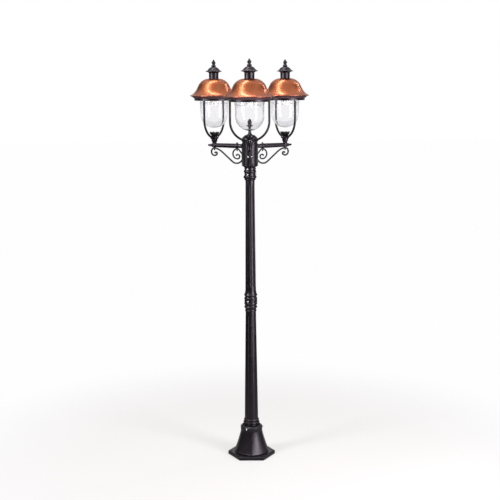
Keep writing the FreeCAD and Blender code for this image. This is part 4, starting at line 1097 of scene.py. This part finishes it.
def make_nut():
    """Radius r (1 - w/20 + w/10 cos(5 a + 7 h)), where w is 1 on the acorn and fades to 0 at its ends."""
    foot, top = ends("roof_nut_front")
    side = outline((3.3, foot), (10.4, foot), ((13.4, foot + 5.5), (9.1, foot + 11)),
                   ((8.1, foot + 14), (9.9, foot + 18)), ((11.4, foot + 23.5), (8.4, foot + 30)),
                   ((4.2, foot + 37), (1, top)), (0, top), count=18)
    side = soften(side, 0.5, False)
    columns = 90
    grid = turned(side, columns)
    angle = even_angles(columns)
    height = np.clip((side[:, 1:] - foot - 14) / (top - foot - 16), 0, 1)
    weight = np.sin(height * math.pi)
    swell = 1 - 0.05 * weight + 0.10 * weight * np.cos(5 * angle + 7.0 * height)
    grid[..., :2] *= swell[..., None]
    bore = turned([(0, foot + 18), (3.3, foot + 18)], columns)
    return shell(np.concatenate([bore, grid]))


on_each_arm("vent_cap", [make_chimney()], black_casting, "chimney_cap", "roof")
on_each_arm("acorn_nut", [make_nut()], black_casting, "roof_nut", "nut")
print("caps and nuts turned")

# %% [markdown]
# The screws are small turned pieces: a domed head with a socket for the key, on a threaded shank. One
# outline is laid on its side and repeated wherever the model has that screw.

# %% Screws
THREAD_PITCH = 1.25


def domed_screw(length, head=5.6, shank=3.9, height=5.2):
    """Along Z with the head's seat at 0. The thread is a wave of a quarter millimetre along the shank."""
    run = np.linspace(-length, -0.5, max(12, int(length * 4)))
    thread = np.stack([shank - 0.25 + 0.25 * np.cos(run * 2 * math.pi / THREAD_PITCH), run], -1)
    socket = head * 0.45
    dome = outline((shank, 0), (head, 0), (head, height * 0.23),
                   ((head * 0.85, height * 0.72), (socket + 0.3, height)),
                   (socket, height * 0.5), (0, height * 0.5), count=9)
    return shell(turned(np.concatenate([[(0, -length)], thread, soften(dome, 0.3, False)]), 24))


def laid(part, radius, level, azimuth):
    """Lays a screw on its side, pointing at the post's axis, with its seat at this radius."""
    points, faces, run = part
    return moved((points[:, [2, 1, 0]] * [1, 1, -1], faces, run), (radius, 0, level), azimuth)


round_joint = [-117 + 120 * i for i in range(3)]
foot_screws = [laid(domed_screw(21.5), rim_radius, bell_top - 13.6, a) for a in round_joint]
mid_screws = [laid(domed_screw(10), mid_radius, middle + 1.5, a) for a in round_joint]
top_screws = [laid(domed_screw(10.3), neck_radius, head_foot + 33.5, a) for a in round_joint]
top_screws += [laid(domed_screw(7.3), neck_radius, head_foot + 63.5, a) for a in round_joint]
pad_screws = [laid(domed_screw(10.9), pad_face, arm_level - 57.5, azimuth + offset)
              for azimuth in SIDES.values() for offset in (-13.5, 13.5)]
for name, screws, node in (("foot_screws", foot_screws, "foot_set_screws"),
                           ("mid_screws", mid_screws, "mid_set_screws"),
                           ("top_screws", top_screws, "top_set_screws"),
                           ("pad_screws", pad_screws, "arm_bolts")):
    build(name, screws, steel, [node])
print("dome headed screws made")

# %% Small screws, ball screws and roof rods
bridge_top = ends("bridge_front")[1]
rod_foot, rod_top = ends("roof_rods")
rod_height = np.arange(rod_foot, rod_top, THREAD_PITCH / 4)
rod_thread = np.stack([2.85 + 0.15 * np.cos(rod_height * 2 * math.pi / THREAD_PITCH), rod_height], -1)
rod_shell = shell(turned(np.concatenate([[(0, rod_foot)], rod_thread, [(0, rod_top)]]), 16))
rod_nut = shell(turned(soften([(3.1, 0), (5.8, 0), (5.8, 5), (3.1, 5)], 0.4) + [0, bridge_top], 6), True)
ball = outline((0, -8.17), ((3.04, -6.91), (4.3, -3.87)), ((3.4, -1.2), (1.9, -0.2)), (1.9, 15), (0, 15),
               count=14)
ball_shell = shell(turned(ball, 32))
clamp_screw = domed_screw(12, 3.4, 1.9, 2.4)
down_screw = domed_screw(6.2, 3, 1.9, 1.4)
side_screw = domed_screw(1.7, 3, 2, 1.4)
clamps, rings, balls, rods = [], [], [], []
for azimuth in SIDES.values():
    for hand in (-1, 1):
        clamps.append(moved(clamp_screw, (arm_reach + hand * 19.6, 0, harp_low + 4), azimuth))
        rings.append(moved(down_screw, (arm_reach + hand * bridge_reach, 0, bridge_top), azimuth))
        points, faces, run = side_screw
        lying = (points[:, [0, 2, 1]] * [1, hand, 1], faces, run)
        rings.append(moved(lying, (arm_reach, hand * pan_radius, ring_level + 3.5), azimuth))
    for reach, seat, rod in ((arm_reach, boss_seat, long_rod), (spike_reach, spike_seat, short_rod)):
        balls.append(moved(ball_shell, (reach, 0, arm_level - seat - seat_gap - 2 * rod), azimuth))
    rods += [moved(rod_shell, (arm_reach, 0, 0), azimuth), moved(rod_nut, (arm_reach, 0, 0), azimuth)]
build("crown_screws", clamps, steel, ["clamp_screws"])
build("pan_screws", rings, steel, ["ring_screws"])
build("scroll_balls", balls, black_rod, ["scroll_screws"])
build("threaded_rods", rods, steel, ["roof_rods"])
print("small fasteners made")

# %% [markdown]
# The floor and the backdrop are white for the camera and through the glass. That white is their own colour,
# so no extra light falls on the post, and the floor still takes the post's soft shadow. Light that bounces,
# and mirror images in the black coat, find grey paper round the post and a dark room past it, lit from above
# and from behind. This keeps the black coat black. Only a glancing mirror ray meets the white far away.

# %% Floor and world


def white_floor():
    """Near the post the floor adds a lamp-lit white to a glow of its own, so that shadows show on it, and
    further out this fades into a plain white. Light that bounces finds grey paper, and then the dark room."""
    finish = new_finish("white_floor")
    depth = finish.node("ShaderNodeSeparateXYZ", None, [finish.place()]).outputs["Y"]
    distance = finish.node("ShaderNodeVectorMath", {"operation": "LENGTH"}, [finish.place()]).outputs["Value"]
    seen = finish.seen(depth, 5.0, 9.0)
    lit = finish.node("ShaderNodeBsdfDiffuse", None, {"Color": (0.30, 0.29, 0.29, 1)})
    glow = finish.node("ShaderNodeEmission", None, {"Color": (0.98, 0.953, 0.953, 1), "Strength": 0.525})
    both = finish.node("ShaderNodeAddShader", None, [lit.outputs[0], glow.outputs[0]])
    white = finish.node("ShaderNodeEmission", None, {"Color": (1, 1, 1, 1), "Strength": 0.99})
    faded = finish.node("ShaderNodeMixShader", None, [finish.rise(distance, 0.7, 2.1), both.outputs[0],
                                                      white.outputs[0]])
    paper = finish.mix(finish.rise(distance, 0.6, 2.2), (0.34, 0.33, 0.33), (0.06, 0.06, 0.06))
    plain = finish.node("ShaderNodeBsdfDiffuse", None, {"Color": paper})
    return finish.close(finish.node("ShaderNodeMixShader", None, [seen, plain.outputs[0], faded.outputs[0]]))


far = 30.0
corners = [(-far, -far, 0), (far, -far, 0), (far, far, 0), (-far, far, 0)]
floor = add_object("floor", corners, [(0, 1, 2, 3)])
floor.data.materials.append(white_floor())

bpy.context.scene.world = bpy.data.worlds.new("studio")
studio = Finish(bpy.context.scene.world, "ShaderNodeOutputWorld")
view_ray = studio.node("ShaderNodeTexCoord").outputs["Generated"]
direction = studio.node("ShaderNodeSeparateXYZ", None, [view_ray])
seen = studio.seen(direction.outputs["Y"], 0.9, 0.99)
backdrop = studio.rise(direction.outputs["Y"], 0.72, 1.0)
ceiling = studio.rise(direction.outputs["Z"], 0.25, 0.85)
around = 0.04 + 0.82 * (1 - (1 - backdrop) * (1 - ceiling))
brightness = seen + (1 - seen) * around
studio.close(studio.node("ShaderNodeBackground", None, {"Color": (1, 1, 1, 1), "Strength": brightness}))
bpy.context.scene.view_settings.view_transform = "Standard"
print("floor and world made")

# %% [markdown]
# Two tall softboxes stand in front, one to each side, and draw the upright streaks that run down every
# round black piece. A long strip overhead runs from the front on the left to behind the post, and makes the
# bent blaze on each roof: it is seen where the copper tilts halfway to it. A panel behind on the right draws
# the second blaze at each roof's edge. Each lamp is given by the two ends of its long side.

# %% Lamps
ROOF_LEVEL = 2.15


def softbox(name, first, last, width, power):
    """An area lamp whose long side runs from first to last, turned about it to face the lanterns."""
    first, last = Vector(first), Vector(last)
    data = bpy.data.lights.new(name, "AREA")
    data.shape = "RECTANGLE"
    data.size, data.size_y, data.energy = width, (last - first).length, power
    lamp = bpy.data.objects.new(name, data)
    middle = (first + last) / 2
    along = (last - first).normalized()
    away = middle - Vector((0, 0, ROOF_LEVEL))
    away = (away - away.project(along)).normalized()
    turned_to = Matrix((along.cross(away), along, away)).transposed()
    lamp.matrix_world = Matrix.Translation(middle) @ turned_to.to_4x4()
    bpy.context.scene.collection.objects.link(lamp)
    return lamp


softbox("left_softbox", (-2.3, -1.55, 1.9), (-2.3, -1.55, 4.1), 0.85, 95)
softbox("right_softbox", (1.9, -1.7, 0.3), (1.9, -1.7, 3.1), 0.85, 100)
softbox("overhead_strip", (-2.05, -1.55, ROOF_LEVEL + 2), (0.11, 0.77, ROOF_LEVEL + 2), 0.22, 38)
softbox("back_panel", (2.41, 1.51, 3.03), (1.86, 1.16, 4.04), 0.12, 9)
print("four lamps")
